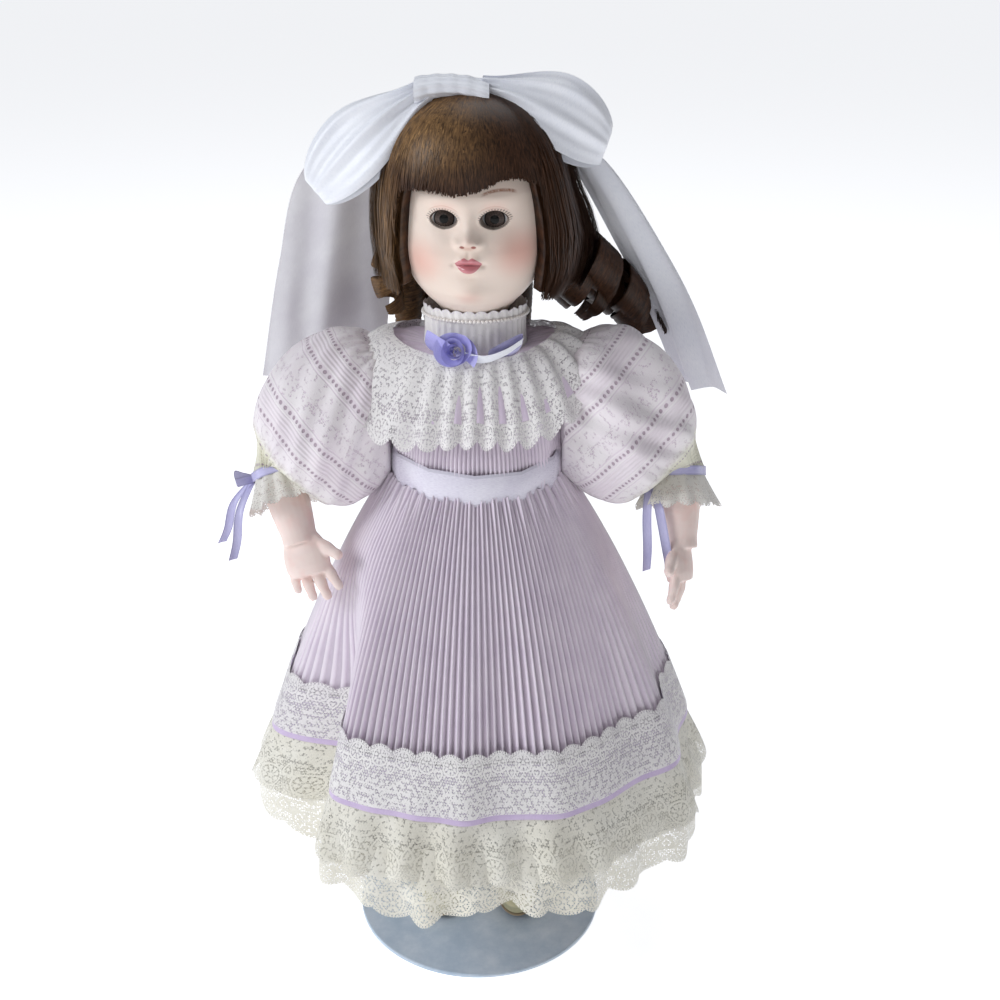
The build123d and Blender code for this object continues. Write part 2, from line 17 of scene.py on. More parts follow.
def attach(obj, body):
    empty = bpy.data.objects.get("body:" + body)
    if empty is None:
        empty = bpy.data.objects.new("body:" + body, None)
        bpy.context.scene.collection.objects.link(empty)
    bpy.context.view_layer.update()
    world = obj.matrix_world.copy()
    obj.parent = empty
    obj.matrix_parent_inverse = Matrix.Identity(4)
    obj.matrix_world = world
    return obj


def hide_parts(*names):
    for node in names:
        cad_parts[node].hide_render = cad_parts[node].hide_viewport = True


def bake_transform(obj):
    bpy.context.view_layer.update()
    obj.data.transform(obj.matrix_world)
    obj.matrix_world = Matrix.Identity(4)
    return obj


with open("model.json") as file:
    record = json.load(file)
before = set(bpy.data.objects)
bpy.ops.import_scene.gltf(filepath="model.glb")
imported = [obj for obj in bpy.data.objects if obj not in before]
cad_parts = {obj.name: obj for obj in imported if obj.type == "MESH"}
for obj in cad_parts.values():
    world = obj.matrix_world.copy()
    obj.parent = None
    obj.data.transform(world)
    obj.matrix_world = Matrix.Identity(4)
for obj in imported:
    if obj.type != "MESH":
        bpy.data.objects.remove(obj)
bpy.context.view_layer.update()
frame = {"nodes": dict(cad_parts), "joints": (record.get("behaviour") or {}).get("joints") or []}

# %% [markdown]
# ## Camera and light
# The doll is seen from a little above, as a person sees it on a table. The camera is set before any piece
# is made, so that each one can be judged as it will be seen. A pale floor and three large soft lamps stand
# for a bright room: the strongest lamp is up and behind on the doll's right, so its left side is darker.

# %% Camera
MM = 0.001
CAMERA_PLACE, CAMERA_PITCH, CAMERA_LENS = (0.0109, -0.594, 0.497), 24, 49.57
LAMPS_AIM = (0, 0, 0.22)
scene = bpy.context.scene
camera = bpy.data.objects.new("camera", bpy.data.cameras.new("camera"))
camera.data.lens = CAMERA_LENS
camera.location = CAMERA_PLACE
camera.rotation_euler = (math.radians(90 - CAMERA_PITCH), 0, 0)
scene.collection.objects.link(camera)
scene.camera = camera
scene.view_settings.view_transform = "Standard"
print("camera", [round(v, 3) for v in camera.location])

# %% Floor and lamps
def mesh_of(bm, name):
    """The mesh that a bmesh holds; the bmesh is freed."""
    mesh = bpy.data.meshes.new(name)
    bm.to_mesh(mesh)
    bm.free()
    return mesh


FLOOR_REACH = 20.0
floor_bm = bmesh.new()
bmesh.ops.create_grid(floor_bm, x_segments=1, y_segments=1, size=FLOOR_REACH)
floor_mesh = mesh_of(floor_bm, "floor")
floor = bpy.data.objects.new("floor", floor_mesh)
floor_paint = bpy.data.materials.new("pale_floor")
floor_paint.use_nodes = True
floor_shader = floor_paint.node_tree.nodes["Principled BSDF"]
floor_shader.inputs["Base Color"].default_value = (0.93, 0.93, 0.94, 1)
floor_shader.inputs["Roughness"].default_value = 0.9
floor_shader.inputs["Emission Color"].default_value = (0.97, 0.98, 1.0, 1)
floor_shader.inputs["Emission Strength"].default_value = 0.72
floor_mesh.materials.append(floor_paint)
scene.collection.objects.link(floor)

world = bpy.data.worlds.new("room")
world.use_nodes = True
world.node_tree.nodes["Background"].inputs["Color"].default_value = (0.93, 0.95, 1.0, 1)
world.node_tree.nodes["Background"].inputs["Strength"].default_value = 0.20
scene.world = world


def lamp(name, place, power, size, tint):
    """A square area lamp that looks at the middle of the doll."""
    data = bpy.data.lights.new(name, "AREA")
    data.energy, data.size, data.color = power, size, tint
    obj = bpy.data.objects.new(name, data)
    obj.location = place
    obj.rotation_euler = (Vector(LAMPS_AIM) - Vector(place)).to_track_quat("-Z", "Y").to_euler()
    scene.collection.objects.link(obj)
    return obj


lamps = [
    lamp("window", (-1.3, -0.5, 1.1), 13, 0.7, (0.93, 0.96, 1.0)),
    lamp("room_front", (-0.2, -1.6, 1.0), 2.2, 1.2, (1.0, 0.98, 0.96)),
    lamp("sky_top", (0.2, 0.7, 1.8), 8, 1.1, (0.95, 0.97, 1.0)),
]
print("lamps:", [l.name for l in lamps])

# %% [markdown]
# ## Shader arithmetic
# Lace, pleats and face paint are patterns, and a pattern is arithmetic on coordinates. Wiring a Math node
# by hand for every plus and times is slow to read, so a small class wraps a socket and turns Python's
# operators into Math nodes. Every other node comes from one method.

# %% The two classes that write materials
class Wire:
    """One output socket. Arithmetic on it adds Math nodes."""

    def __init__(self, finish, socket):
        self.finish, self.socket = finish, socket

    def do(self, operation, *values):
        return self.finish.node("ShaderNodeMath", {"operation": operation}, dict(enumerate(values)))

    def __add__(self, other):
        return self.do("ADD", self, other)

    def __sub__(self, other):
        return self.do("SUBTRACT", self, other)

    def __rsub__(self, other):
        return self.do("SUBTRACT", other, self)

    def __mul__(self, other):
        return self.do("MULTIPLY", self, other)

    def __pow__(self, other):
        return self.do("POWER", self, other)

    __radd__ = __add__
    __rmul__ = __mul__

    def either(self, other):
        return self.do("MAXIMUM", self, other)

    def least(self, other):
        return self.do("MINIMUM", self, other)

    def size(self):
        return self.do("ABSOLUTE", self)

    def wave(self):
        return self.do("SINE", self)

    def centred(self, pitch):
        """Distance along a repeat, from -pitch/2 to pitch/2."""
        return self.do("WRAP", self, pitch / 2, -pitch / 2)

    def ramp(self, low, high):
        """0 below low, 1 above high, smooth between."""
        settings = {"interpolation_type": "SMOOTHSTEP"}
        return self.finish.node("ShaderNodeMapRange", settings, {0: self, 1: low, 2: high})


class Finish:
    """A material being written. The Principled shader's fixed values are given by socket name."""

    def __init__(self, name, **fixed):
        self.material = bpy.data.materials.new(name)
        self.material.use_nodes = True
        self.tree = self.material.node_tree
        self.shader = self.tree.nodes["Principled BSDF"]
        for key, value in fixed.items():
            self.set(key.replace("_", " "), value)

    def node(self, kind, settings=None, sockets=None, output=0):
        made = self.tree.nodes.new(kind)
        for key, value in (settings or {}).items():
            setattr(made, key, value)
        for key, value in (sockets or {}).items():
            self.join(value, made.inputs[key])
        return Wire(self, made.outputs[output])

    def join(self, value, socket):
        if isinstance(value, Wire):
            self.tree.links.new(value.socket, socket)
        elif hasattr(value, "__len__") and len(value) == 3 and len(socket.default_value) == 4:
            socket.default_value = (*value, 1)
        else:
            socket.default_value = value

    def set(self, name, value):
        self.join(value, self.shader.inputs[name])

    def place(self):
        """The piece's own coordinates in millimetres, as three wires."""
        coordinates = self.node("ShaderNodeTexCoord", output="Object")
        return [wire * (1 / MM) for wire in self.split(coordinates, 3)]

    def cloth(self):
        """The piece's UV map, which every cloth piece has in millimetres, as two wires."""
        return self.split(self.node("ShaderNodeUVMap", {"uv_map": "UVMap"}), 2)

    def split(self, vector, number):
        outputs = self.node("ShaderNodeSeparateXYZ", sockets={0: vector}).socket.node.outputs
        return [Wire(self, outputs[i]) for i in range(number)]

    def point(self, x, y, z=0.0):
        return self.node("ShaderNodeCombineXYZ", sockets={0: x, 1: y, 2: z})

    def noise(self, where, scale, detail=3.0, roughness=0.5):
        sockets = {"Vector": where, "Scale": scale, "Detail": detail, "Roughness": roughness}
        return self.node("ShaderNodeTexNoise", sockets=sockets)

    def mix(self, share, first, second):
        return self.node("ShaderNodeMix", {"data_type": "RGBA"}, {0: share, 6: first, 7: second}, 2)

    def bump(self, height, distance, strength=1.0):
        sockets = {"Height": height, "Distance": distance * MM, "Strength": strength}
        self.set("Normal", self.node("ShaderNodeBump", sockets=sockets))


print("shader helpers ready")

# %% [markdown]
# ## Cloth on a grid
# Cloth starts as a flat grid, as it does on a cutting table. One helper makes the grid, moves each of its
# points to where a formula says, and writes a UV map in millimetres, so that a weave or a lace repeat keeps
# its true size however the cloth is gathered.

# %% Mesh helpers
def paint(mesh, finish):
    mesh.materials.clear()
    mesh.materials.append(finish.material)


def settle(name, mesh, body, finish, stands_for=()):
    """Links a finished mesh, gives it its material, and makes it ride on a body, unless body is None."""
    obj = bpy.data.objects.new(name, mesh)
    scene.collection.objects.link(obj)
    paint(mesh, finish)
    mesh.polygons.foreach_set("use_smooth", np.ones(len(mesh.polygons), dtype=bool))
    if body:
        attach(obj, body)
    if stands_for:
        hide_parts(*stands_for)
    return obj


def grid_places(mesh):
    """How far across and along its unit grid each vertex lies, from 0 to 1."""
    flat = np.empty(len(mesh.vertices) * 3)
    mesh.vertices.foreach_get("co", flat)
    return flat[0::3] + 0.5, flat[1::3] + 0.5


def write_uv(mesh, across, along):
    """Writes a UV map from a value across and along for each vertex."""
    corner = np.empty(len(mesh.loops), dtype=np.int32)
    mesh.loops.foreach_get("vertex_index", corner)
    layer = mesh.uv_layers.new(name="UVMap")
    layer.data.foreach_set("uv", np.stack([across, along], 1)[corner].ravel())


# Edges of a grid that meet closer than this, in millimetres, are sewn together.
SEAM = 0.01


def drape(name, across, along, shape, cloth=None, closed=False):
    """A grid of cloth. shape(u, v) gives x, y and z in millimetres for arrays u and v from 0 to 1, cloth
    is the (width, length) that its UV map is written in, and closed sews the edges that meet."""
    bm = bmesh.new()
    bmesh.ops.create_grid(bm, x_segments=across, y_segments=along, size=0.5)
    mesh = mesh_of(bm, name)
    u, v = grid_places(mesh)
    if cloth is not None:
        write_uv(mesh, u * cloth[0], v * cloth[1])
    mesh.vertices.foreach_set("co", (np.stack(shape(u, v), 1) * MM).ravel())
    if closed:
        bm = bmesh.new()
        bm.from_mesh(mesh)
        bmesh.ops.remove_doubles(bm, verts=bm.verts, dist=SEAM * MM)
        bm.to_mesh(mesh)
        bm.free()
    return mesh


def outward(mesh):
    """Turns every face of a closed or ring-shaped mesh to point outwards."""
    bm = bmesh.new()
    bm.from_mesh(mesh)
    bmesh.ops.recalc_face_normals(bm, faces=bm.faces)
    bm.to_mesh(mesh)
    bm.free()
    return mesh


def ease(t):
    """0 to 1 with a soft start and end."""
    t = np.clip(t, 0, 1)
    return t * t * (3 - 2 * t)


def through(points, t):
    """A smooth line through a few points, read at t from 0 to 1 (Catmull-Rom)."""
    p = np.array(points, float)
    ends = np.vstack([2 * p[0] - p[1], p, 2 * p[-1] - p[-2]])
    s = np.clip(t, 0, 1) * (len(p) - 1)
    i = np.minimum(s.astype(int), len(p) - 2)
    f = (s - i)[:, None]
    a, b, c, d = (ends[i + k] for k in range(4))
    return 0.5 * (2 * b + (c - a) * f + (2 * a - 5 * b + 4 * c - d) * f**2 + (3 * b - a - 3 * c + d) * f**3)


def around(u):
    """Angle from the front for a share u of the way round, with the seam at the back."""
    return (u - 0.5) * 2 * math.pi


def ripple(angle, waves, seed):
    """A soft uneven wave round a ring: a few sines near the wanted count, with fixed random phases."""
    draw = np.random.default_rng(seed)
    total = 0
    for k in (-2, -1, 0, 1, 2):
        total = total + draw.uniform(0.5, 1) * np.cos((waves + k) * angle + draw.uniform(0, 2 * math.pi))
    return total / 2.2


print("mesh helpers ready")

# %% [markdown]
# ## Finishes for the stand and the hidden body
# The stand keeps its CAD shapes: turned and bent metal is already right there. It needs paint that has
# been handled, so the blue-grey enamel gets a faint cloudy marbling and its roughness varies a little.

# %% Stand finishes
def painted_metal():
    finish = Finish("painted_stand", Metallic=0.0, Coat_Weight=0.25, Coat_Roughness=0.2)
    x, y, z = finish.place()
    where = finish.point(x, y, z)
    cloud = finish.noise(where, 0.035, 5.0, 0.6)
    vein = finish.noise(where, 0.11, 6.0, 0.65)
    shade = (cloud * 0.6 + vein * 0.4).ramp(0.35, 0.68)
    finish.set("Base Color", finish.mix(shade, (0.46, 0.57, 0.70), (0.68, 0.76, 0.86)))
    finish.set("Roughness", vein * 0.25 + 0.25)
    finish.bump(finish.noise(where, 0.9, 2.0), 0.05, 0.4)
    return finish


def metal(name, colour, roughness):
    """Drawn wire and turned steel: fine lines along the height, and a little tarnish."""
    finish = Finish(name, Metallic=1.0)
    x, y, z = finish.place()
    line = finish.noise(finish.point(x * 0.4, y * 0.4, z * 6.0), 1.2, 3.0)
    stain = finish.noise(finish.point(x, y, z), 0.05, 4.0)
    finish.set("Base Color", finish.mix(stain, tuple(c * 0.82 for c in colour), colour))
    finish.set("Roughness", line * 0.15 + roughness)
    finish.bump(line, 0.02, 0.5)
    return finish


def woven(name, light, dark, pitch=0.8):
    """A plain weave read in three directions at once, for cloth bodies that have no UV map."""
    finish = Finish(name, Sheen_Weight=0.3, Sheen_Roughness=0.5)
    finish.set("Roughness", 0.85)
    x, y, z = finish.place()
    step = 2 * math.pi / pitch
    threads = ((x + y) * step).wave() * (z * step).wave()
    slub = finish.noise(finish.point(x, y, z), 0.12, 4.0)
    finish.set("Base Color", finish.mix(threads * 0.25 + slub * 0.8, dark, light))
    finish.bump(threads, 0.08, 0.6)
    return finish


def soft_plain(name, colour, roughness, grain=0.6):
    """Vinyl, wood, card or plaster: one colour that drifts a little, with a fine grain."""
    finish = Finish(name)
    where = finish.point(*finish.place())
    drift = finish.noise(where, 0.08, 4.0)
    fine = finish.noise(where, grain, 4.0)
    finish.set("Base Color", finish.mix(drift, tuple(c * 0.86 for c in colour), colour))
    finish.set("Roughness", fine * 0.2 + roughness)
    finish.bump(fine, 0.05, 0.5)
    return finish


stand_paint = painted_metal()
steel = metal("steel", (0.62, 0.62, 0.63), 0.25)
muslin = woven("muslin", (0.80, 0.74, 0.62), (0.66, 0.58, 0.46))
cotton = woven("white_cotton", (0.88, 0.87, 0.84), (0.74, 0.72, 0.70), 0.6)
vinyl = soft_plain("clip_vinyl", (0.86, 0.86, 0.84), 0.4)
beech = soft_plain("stand_plug", (0.52, 0.36, 0.20), 0.5, 1.5)
card = soft_plain("pate_card", (0.52, 0.42, 0.28), 0.8, 1.2)
plaster = soft_plain("plaster", (0.84, 0.82, 0.77), 0.85, 1.5)
CARRIED = {
    "stand_base": stand_paint, "stand_tube": stand_paint,
    "post_screw": steel, "stand_rod": steel, "waist_clip": steel, "neck_bolt": steel,
    "neck_spring": steel, "neck_washer": steel, "neck_nut": steel,
    "tube_plug": beech, "clip_sleeves": vinyl, "crown_pate": card, "eye_plaster": plaster,
    "torso": muslin, "upper_arm_left": muslin, "upper_arm_right": muslin,
    "upper_leg_left": muslin, "upper_leg_right": muslin,
}
for node, finish in CARRIED.items():
    paint(frame["nodes"][node].data, finish)
print(len(CARRIED), "CAD pieces carry a finish of their own")

# %% [markdown]
# ## Pleated satin
# The skirt is lilac satin set in narrow crystal pleats. Each pleat is real geometry, a sharp little ridge,
# because its edge catches the light all the way down. The pleats hang in soft folds, one of them deep. So
# the skirt is one grid whose radius is a cone, plus the folds, plus the pleats, all growing from the waist.

# %% Satin finish
WEAVE = 0.35
SASH_WIDTH, SASH_TAIL_WIDTH, RIBBON_WIDTH = 15, 13, 4.2


def satin(name, light, shade, streak=0.5, rough=0.42, edge=None, pleat=None):
    """Woven satin: fine threads along the width and drifting tone. edge is a ribbon's (width, selvedge),
    and pleat the pitch of pressed pleats, whose valleys get painted shade and whose ridges get a painted
    highlight."""
    finish = Finish(name, Sheen_Weight=0.4, Sheen_Roughness=0.35, Specular_IOR_Level=0.55)
    u, v = finish.cloth()
    thread = finish.noise(finish.point(u * 6.0, v * 0.5), 1.0, 3.0)
    drift = finish.noise(finish.point(u, v), 0.06, 4.0)
    tone = thread * streak + drift * (1 - streak)
    colour = finish.mix(tone.ramp(0.3, 0.7), shade, light)
    grain = (v * (2 * math.pi / WEAVE)).wave() * 0.5 + thread
    if edge is not None:
        width, line = edge
        near = ((u - width / 2).size() - (width / 2 - line)).ramp(-0.25, 0.1)
        colour = finish.mix(near * 0.45, colour, tuple(c * 0.6 for c in shade))
    if pleat is not None:
        # Painted shade in each pleat's valley, and a painted highlight on its ridge, over the real pleats of
        # the mesh.
        valley_shade = 1 - u.centred(pleat).size().ramp(0.2, pleat * 0.3)
        ridge = 1 - (u - pleat * 2 / 3).centred(pleat).size().ramp(0.1, pleat * 0.16)
        colour = finish.mix(valley_shade * 0.62, colour, tuple(c * 0.62 for c in shade))
        colour = finish.mix(ridge * 0.55, colour, tuple(c**0.5 for c in light))
    finish.set("Base Color", colour)
    finish.set("Roughness", thread * 0.18 + (rough - 0.09))
    finish.bump(grain, 0.05, 0.35)
    return finish


# Every pleat takes 6 mm of cloth.
PLEAT_PITCH = 6.0
plain_lilac = satin("lilac_plain", (0.80, 0.70, 0.81), (0.68, 0.56, 0.71), streak=0.35, rough=0.5)
# This pleated satin carries painted shade in each pleat's valley and a painted highlight on its ridge.
skirt_satin = satin("lilac_satin", (0.86, 0.77, 0.86), (0.75, 0.65, 0.77), streak=0.35, rough=0.5,
                    pleat=PLEAT_PITCH)
sash_satin = satin("sash_satin", (0.80, 0.78, 0.86), (0.66, 0.62, 0.74), rough=0.28, edge=(SASH_WIDTH, 1.4))
lilac_ribbon = satin("lilac_ribbon", (0.62, 0.60, 0.84), (0.46, 0.44, 0.72), rough=0.3,
                     edge=(RIBBON_WIDTH, 0.5))
violet_ribbon = satin("violet_ribbon", (0.50, 0.48, 0.86), (0.34, 0.32, 0.72), rough=0.36)
white_satin = satin("bow_satin", (0.90, 0.91, 0.95), (0.78, 0.80, 0.87), streak=0.6, rough=0.3)
print("satins ready")

# %% Skirt surface, used by every layer of the skirt
WAIST_Z, HEM_Z = 251.0, 118.0
SKIRT_TOP_RADIUS = 39.0
# One deep fold at the doll's right, and the ridge in front of it.
FOLD_AT, RIDGE_AT = math.radians(-62), math.radians(-40)


def bell(angle, centre, width):
    """1 at centre, falling away either side; the angle wraps round."""
    return np.exp(-((np.angle(np.exp(1j * (angle - centre))) / width) ** 2))


def skirt_radius(angle, z):
    """Radius of the skirt at an angle from the front (positive to the doll's left) and a height."""
    down = np.clip((WAIST_Z - z) / (WAIST_Z - HEM_Z), 0, 1.6)
    swell = 1 - np.exp(-2.6 * down)
    flare_x = SKIRT_TOP_RADIUS + 47 * down + 17 * swell
    flare_y = SKIRT_TOP_RADIUS + 33 * down + 19 * swell
    cone = 1 / np.sqrt((np.sin(angle) / flare_x) ** 2 + (np.cos(angle) / flare_y) ** 2)
    folds = ease(down * 1.15) * (2.3 * ripple(angle, 9, 3) + 1.3 * ripple(angle, 15, 5))
    fold = -30.0 * ease(down * 1.3 - 0.25) * bell(angle, FOLD_AT, 0.21)
    ridge = 3.0 * ease(down * 1.4 - 0.2) * bell(angle, RIDGE_AT, 0.14)
    return cone + folds * (1 - bell(angle, FOLD_AT, 0.5)) + fold + ridge


def ring_place(angle, radius, z):
    return radius * np.sin(angle), -radius * np.cos(angle), z


# %% Skirt
SKIRT_PLEATS, BODICE_PLEATS = 150, 124
SKIRT_TALL = WAIST_Z - HEM_Z


def skirt_shape(u, v):
    angle = around(u)
    z = WAIST_Z - SKIRT_TALL * (1 - v)
    down = (WAIST_Z - z) / SKIRT_TALL
    share = (u * SKIRT_PLEATS) % 1
    pleat = np.where(share < 2 / 3, share * 1.5, (1 - share) * 3) * 2 - 1
    depth = 0.9 + 1.1 * down
    waist_tuck = np.exp(-((down / 0.07) ** 2)) * 1.6 * ripple(angle, 44, 8)
    return ring_place(angle, skirt_radius(angle, z) + depth * pleat + waist_tuck, z)


skirt_cloth = (SKIRT_PLEATS * PLEAT_PITCH, SKIRT_TALL)
skirt_mesh = outward(drape("skirt", SKIRT_PLEATS * 6, 44, skirt_shape, skirt_cloth, closed=True))
skirt = settle("skirt_pleated", skirt_mesh, "body", skirt_satin, ["skirt"])
print("skirt:", len(skirt.data.polygons), "faces")

# %% [markdown]
# ## Lace
# Machine lace is a net of fine thread with dense flowers and scrolls worked into it, and a scalloped edge.
# It could be cut out as geometry, but a metre of it holds thousands of holes. So the cloth stays a plain
# gathered sheet, and the pattern is drawn from its UV map in millimetres: thread where the pattern is, and
# nothing between, through the shader's Alpha. One function draws it for each piece, at that piece's scale.

# %% Lace pattern
PICOT_PITCH, EYELET_PITCH = 1.2, 1.6


def lace_pattern(finish, u, v, pitch, drop, net, dense):
    """Thread, from 0 to 1, at u along and v up from the scallops' lowest point, all in millimetres.
    pitch and drop are a scallop's width and depth, and net is the pitch of the ground net."""
    a = u.centred(pitch)
    above = v - a * a * (4 * drop / pitch**2)
    picots = (u * (2 * math.pi / PICOT_PITCH)).wave() * 0.28
    inside = (above + picots).ramp(0.15, 0.45)
    # The ground net: three families of threads at sixty degrees.
    p = (u + v * 0.577).centred(net).size()
    q = (u - v * 0.577).centred(net).size()
    r = (v * 1.155).centred(net).size()
    threads = 1 - p.least(q).least(r).ramp(net * 0.07, net * 0.20)
    # A rosette above each scallop: a ring, eight petals and a centre. Between rosettes, a scroll.
    y = above - pitch * 0.42
    reach = (a * a + y * y) ** 0.5
    turn = y.do("ARCTAN2", y, a)
    ring = 1 - ((reach - pitch * 0.30).size() - pitch * 0.022).ramp(0.0, 0.35)
    petal = (turn * 4.0).wave().size() * (1 - (reach - pitch * 0.17).size().ramp(pitch * 0.03, pitch * 0.11))
    centre = 1 - (reach - pitch * 0.055).ramp(0.0, 0.3)
    side = a.size() - pitch / 2
    scroll_at = (side * side + (y - pitch * 0.18) ** 2.0) ** 0.5
    scroll = 1 - ((scroll_at - pitch * 0.15).size() - pitch * 0.03).ramp(0.0, 0.35)
    bud = 1 - (scroll_at - pitch * 0.05).ramp(0.0, 0.3)
    fan_ring = 1 - (reach - pitch * 0.40).size().ramp(pitch * 0.02, pitch * 0.07)
    fan = (turn * 9.0).wave().ramp(-0.1, 0.6) * fan_ring
    # The edge: a dense hem along the scallops with a row of eyelets in it.
    hem = 1 - (above - 1.5).ramp(0.0, 0.35)
    eyelet = (1 - (u.centred(EYELET_PITCH).size() ** 2.0 + (above - 1.05) ** 2.0).ramp(0.04, 0.16)) * 0.9
    cord = 1 - (above - 2.5).size().ramp(0.15, 0.45)
    motif = ring.either(petal.ramp(0.35, 0.6)).either(centre).either(scroll).either(bud).either(fan * 0.9)
    # Higher up the pattern thickens into leaves, which leave only small gaps.
    thick = above.ramp(pitch * 0.5, pitch * 1.3) * 0.16 + dense * 0.2
    leaves = (finish.noise(finish.point(u, v), 0.5, 2.0) + thick).ramp(0.62, 0.70)
    thread = threads.either(motif).either(leaves * 0.95).either(cord).either(hem) - eyelet * hem
    return thread * inside, above


def lace(name, pitch, drop, net, thread_colour, shade_colour, dense, lining=None):
    """Lace with holes through it, or with a lining behind, where the gaps show the lining's colour."""
    finish = Finish(name, Sheen_Weight=0.25, Sheen_Roughness=0.5)
    u, v = finish.cloth()
    thread, above = lace_pattern(finish, u, v, pitch, drop, net, dense)
    where = finish.point(*finish.place())
    drift = finish.noise(where, 0.03, 4.0, 0.6).ramp(0.35, 0.65)
    fibre = finish.noise(finish.point(u * 3.0, v * 3.0), 1.0, 2.0)
    colour = finish.mix(drift * 0.7 + fibre * 0.3, shade_colour, thread_colour)
    if lining is not None:
        colour = finish.mix(thread, lining, colour)
        finish.set("Alpha", above.ramp(0.1, 0.3))
    else:
        finish.set("Alpha", thread)
    finish.set("Base Color", colour)
    finish.set("Roughness", fibre * 0.15 + 0.78)
    finish.bump(thread * 0.8 + fibre * 0.2, 0.25, 0.7)
    return finish


ruffle_lace = lace("cream_ruffle_lace", 18.0, 3.8, 1.5, (0.87, 0.85, 0.77), (0.76, 0.73, 0.63), dense=0.45)
band_lace = lace("hem_band_lace", 14.0, 2.6, 1.5, (0.88, 0.86, 0.84), (0.78, 0.75, 0.76), dense=0.15)
band_satin = satin("lilac_band", (0.68, 0.56, 0.77), (0.58, 0.46, 0.68), streak=0.35, rough=0.45)
print("lace finishes ready")

# %% [markdown]
# ## Skirt hem
# The hem carries four layers: a smooth satin band, white lace on the band with its scallops upwards, a
# gathered lace ruffle below the band, and a longer ruffle on the petticoat. All of them follow the skirt's
# own surface, so they share its deep fold.

# %% Hem layers
# Below this height the ruffles hang straight.
FLARE_ENDS = HEM_Z - 32


def hem_layer(name, top, low, stand_off, gathers, wave, seed, finish, node=None, turned=False, rows=18,
              hem_wave=0.0, spread=0.0):
    """A ring of cloth over the skirt from height top to low. turned puts its scallops at the top, wave is
    how deep its gathers are, and hem_wave and spread raise and widen its free edge."""
    tall = top - low

    def shape(u, v):
        angle = around(u)
        height = low + tall * (1 - v if turned else v)
        free = (top - height) / tall
        z = height + hem_wave * free * ripple(angle, 7, seed + 40)
        push = stand_off + spread * free + wave * ease(0.25 + free) * ripple(angle, gathers, seed)
        return ring_place(angle, skirt_radius(angle, np.maximum(z, FLARE_ENDS)) + push, z)

    mesh = outward(drape(name, gathers * 13, rows, shape, (700, tall * 1.03), closed=True))
    obj = settle(name, mesh, "body", finish, [node] if node else [])
    return obj


hem_band = hem_layer("hem_band_satin", 141, 115.5, 2.3, 26, 0.5, 31, band_satin, "hem_band")
band_top_lace = hem_layer("hem_band_lace", 147.5, 118.5, 3.1, 26, 0.5, 31, band_lace, turned=True, rows=22)
ruffle = hem_layer("hem_ruffle_lace", HEM_Z, 86, 0.6, 27, 2.3, 33, ruffle_lace, "hem_ruffle",
                   hem_wave=2.0, spread=1.6)
under_ruffle = hem_layer("petticoat_ruffle_lace", 101, 67, -1.0, 24, 2.4, 35, ruffle_lace,
                         "petticoat_lace", hem_wave=4.5, spread=2.0)
print("hem layers:", [o.name for o in (hem_band, band_top_lace, ruffle, under_ruffle)])


# %% Petticoat
PETTICOAT_LOW, PETTICOAT_TALL = 84, 166


def petticoat_shape(u, v):
    angle = around(u)
    z = PETTICOAT_LOW + PETTICOAT_TALL * v
    return ring_place(angle, skirt_radius(angle, z) - 3.2 + 0.6 * ripple(angle, 26, 12), z)


petticoat_mesh = outward(drape("petticoat", 240, 40, petticoat_shape, (640, PETTICOAT_TALL), closed=True))
petticoat = settle("petticoat_cotton", petticoat_mesh, "body", cotton, ["petticoat"])
print("petticoat:", len(petticoat.data.polygons), "faces")

# %% [markdown]
# ## Bodice and sash
# The bodice is the same pleated satin as the skirt, drawn in at the waist. The sash is a smooth ribbon over
# that join. It is wound, not sewn, so it dips slightly in front and its edges stand away a little.

# %% Bodice, sash and the bow at the back
BODICE_LOW, BODICE_TALL = 250, 58
SASH_LONG = 258


def bodice_shape(u, v):
    angle = around(u)
    z = BODICE_LOW + BODICE_TALL * v
    taper = ease((z - 280) / 28)
    rx, ry = 38.2 - 9 * taper, 38.0 - 7 * ease((z - 262) / 30) - 7 * taper
    round_ = 1 / np.sqrt((np.sin(angle) / rx) ** 2 + (np.cos(angle) / ry) ** 2)
    pleat = (1 - np.abs(((u * BODICE_PLEATS) % 1) * 2 - 1)) * 1.5
    return ring_place(angle, round_ + pleat + 0.5 * ripple(angle, 14, 51), z)


bodice_cloth = (BODICE_PLEATS * PLEAT_PITCH, BODICE_TALL)
bodice_mesh = outward(drape("bodice", BODICE_PLEATS * 6, 24, bodice_shape, bodice_cloth, closed=True))
bodice = settle("bodice_pleated", bodice_mesh, "body", skirt_satin, ["bodice"])


def sash_shape(v, u):
    angle = around(u)
    z = 249.5 + SASH_WIDTH * v - 1.8 * np.cos(angle) - 1.0 * np.sin(angle * 2 + 0.6)
    crown = 0.9 * (1 - (2 * v - 1) ** 2)
    crease = 0.35 * np.cos(v * 9 + 2 * np.sin(angle * 3)) * bell(angle, 1.1, 0.7)
    return ring_place(angle, 40.6 + crown + crease + 0.25 * ripple(angle, 9, 52), z)


sash_mesh = outward(drape("sash", 180, 12, sash_shape, (SASH_WIDTH, SASH_LONG), closed=True))
sash = settle("sash_band", sash_mesh, "body", sash_satin, ["sash"])


def ribbon_strip(name, path, across, width, finish, body, node=None, steps=60, cup=0.0):
    """A ribbon along a smooth path. across is its width direction at the start and at the end."""
    first, last = np.array(across[0], float), np.array(across[1], float)

    def shape(u, v):
        centre = through(path, v)
        side = first[None] * (1 - v[:, None]) + last[None] * v[:, None]
        side /= np.linalg.norm(side, axis=1)[:, None]
        ahead = through(path, v + 0.01) - through(path, v - 0.01)
        face = np.cross(side, ahead)
        face /= np.linalg.norm(face, axis=1)[:, None] + 1e-9
        place = centre + side * ((u - 0.5) * width)[:, None] + face * (cup * (1 - (2 * u - 1) ** 2))[:, None]
        return place.T

    long = float(np.linalg.norm(np.diff(np.array(path, float), axis=0), axis=1).sum())
    obj = settle(name, drape(name, 8, steps, shape, (width, long)), body, finish, [node] if node else [])
    return obj


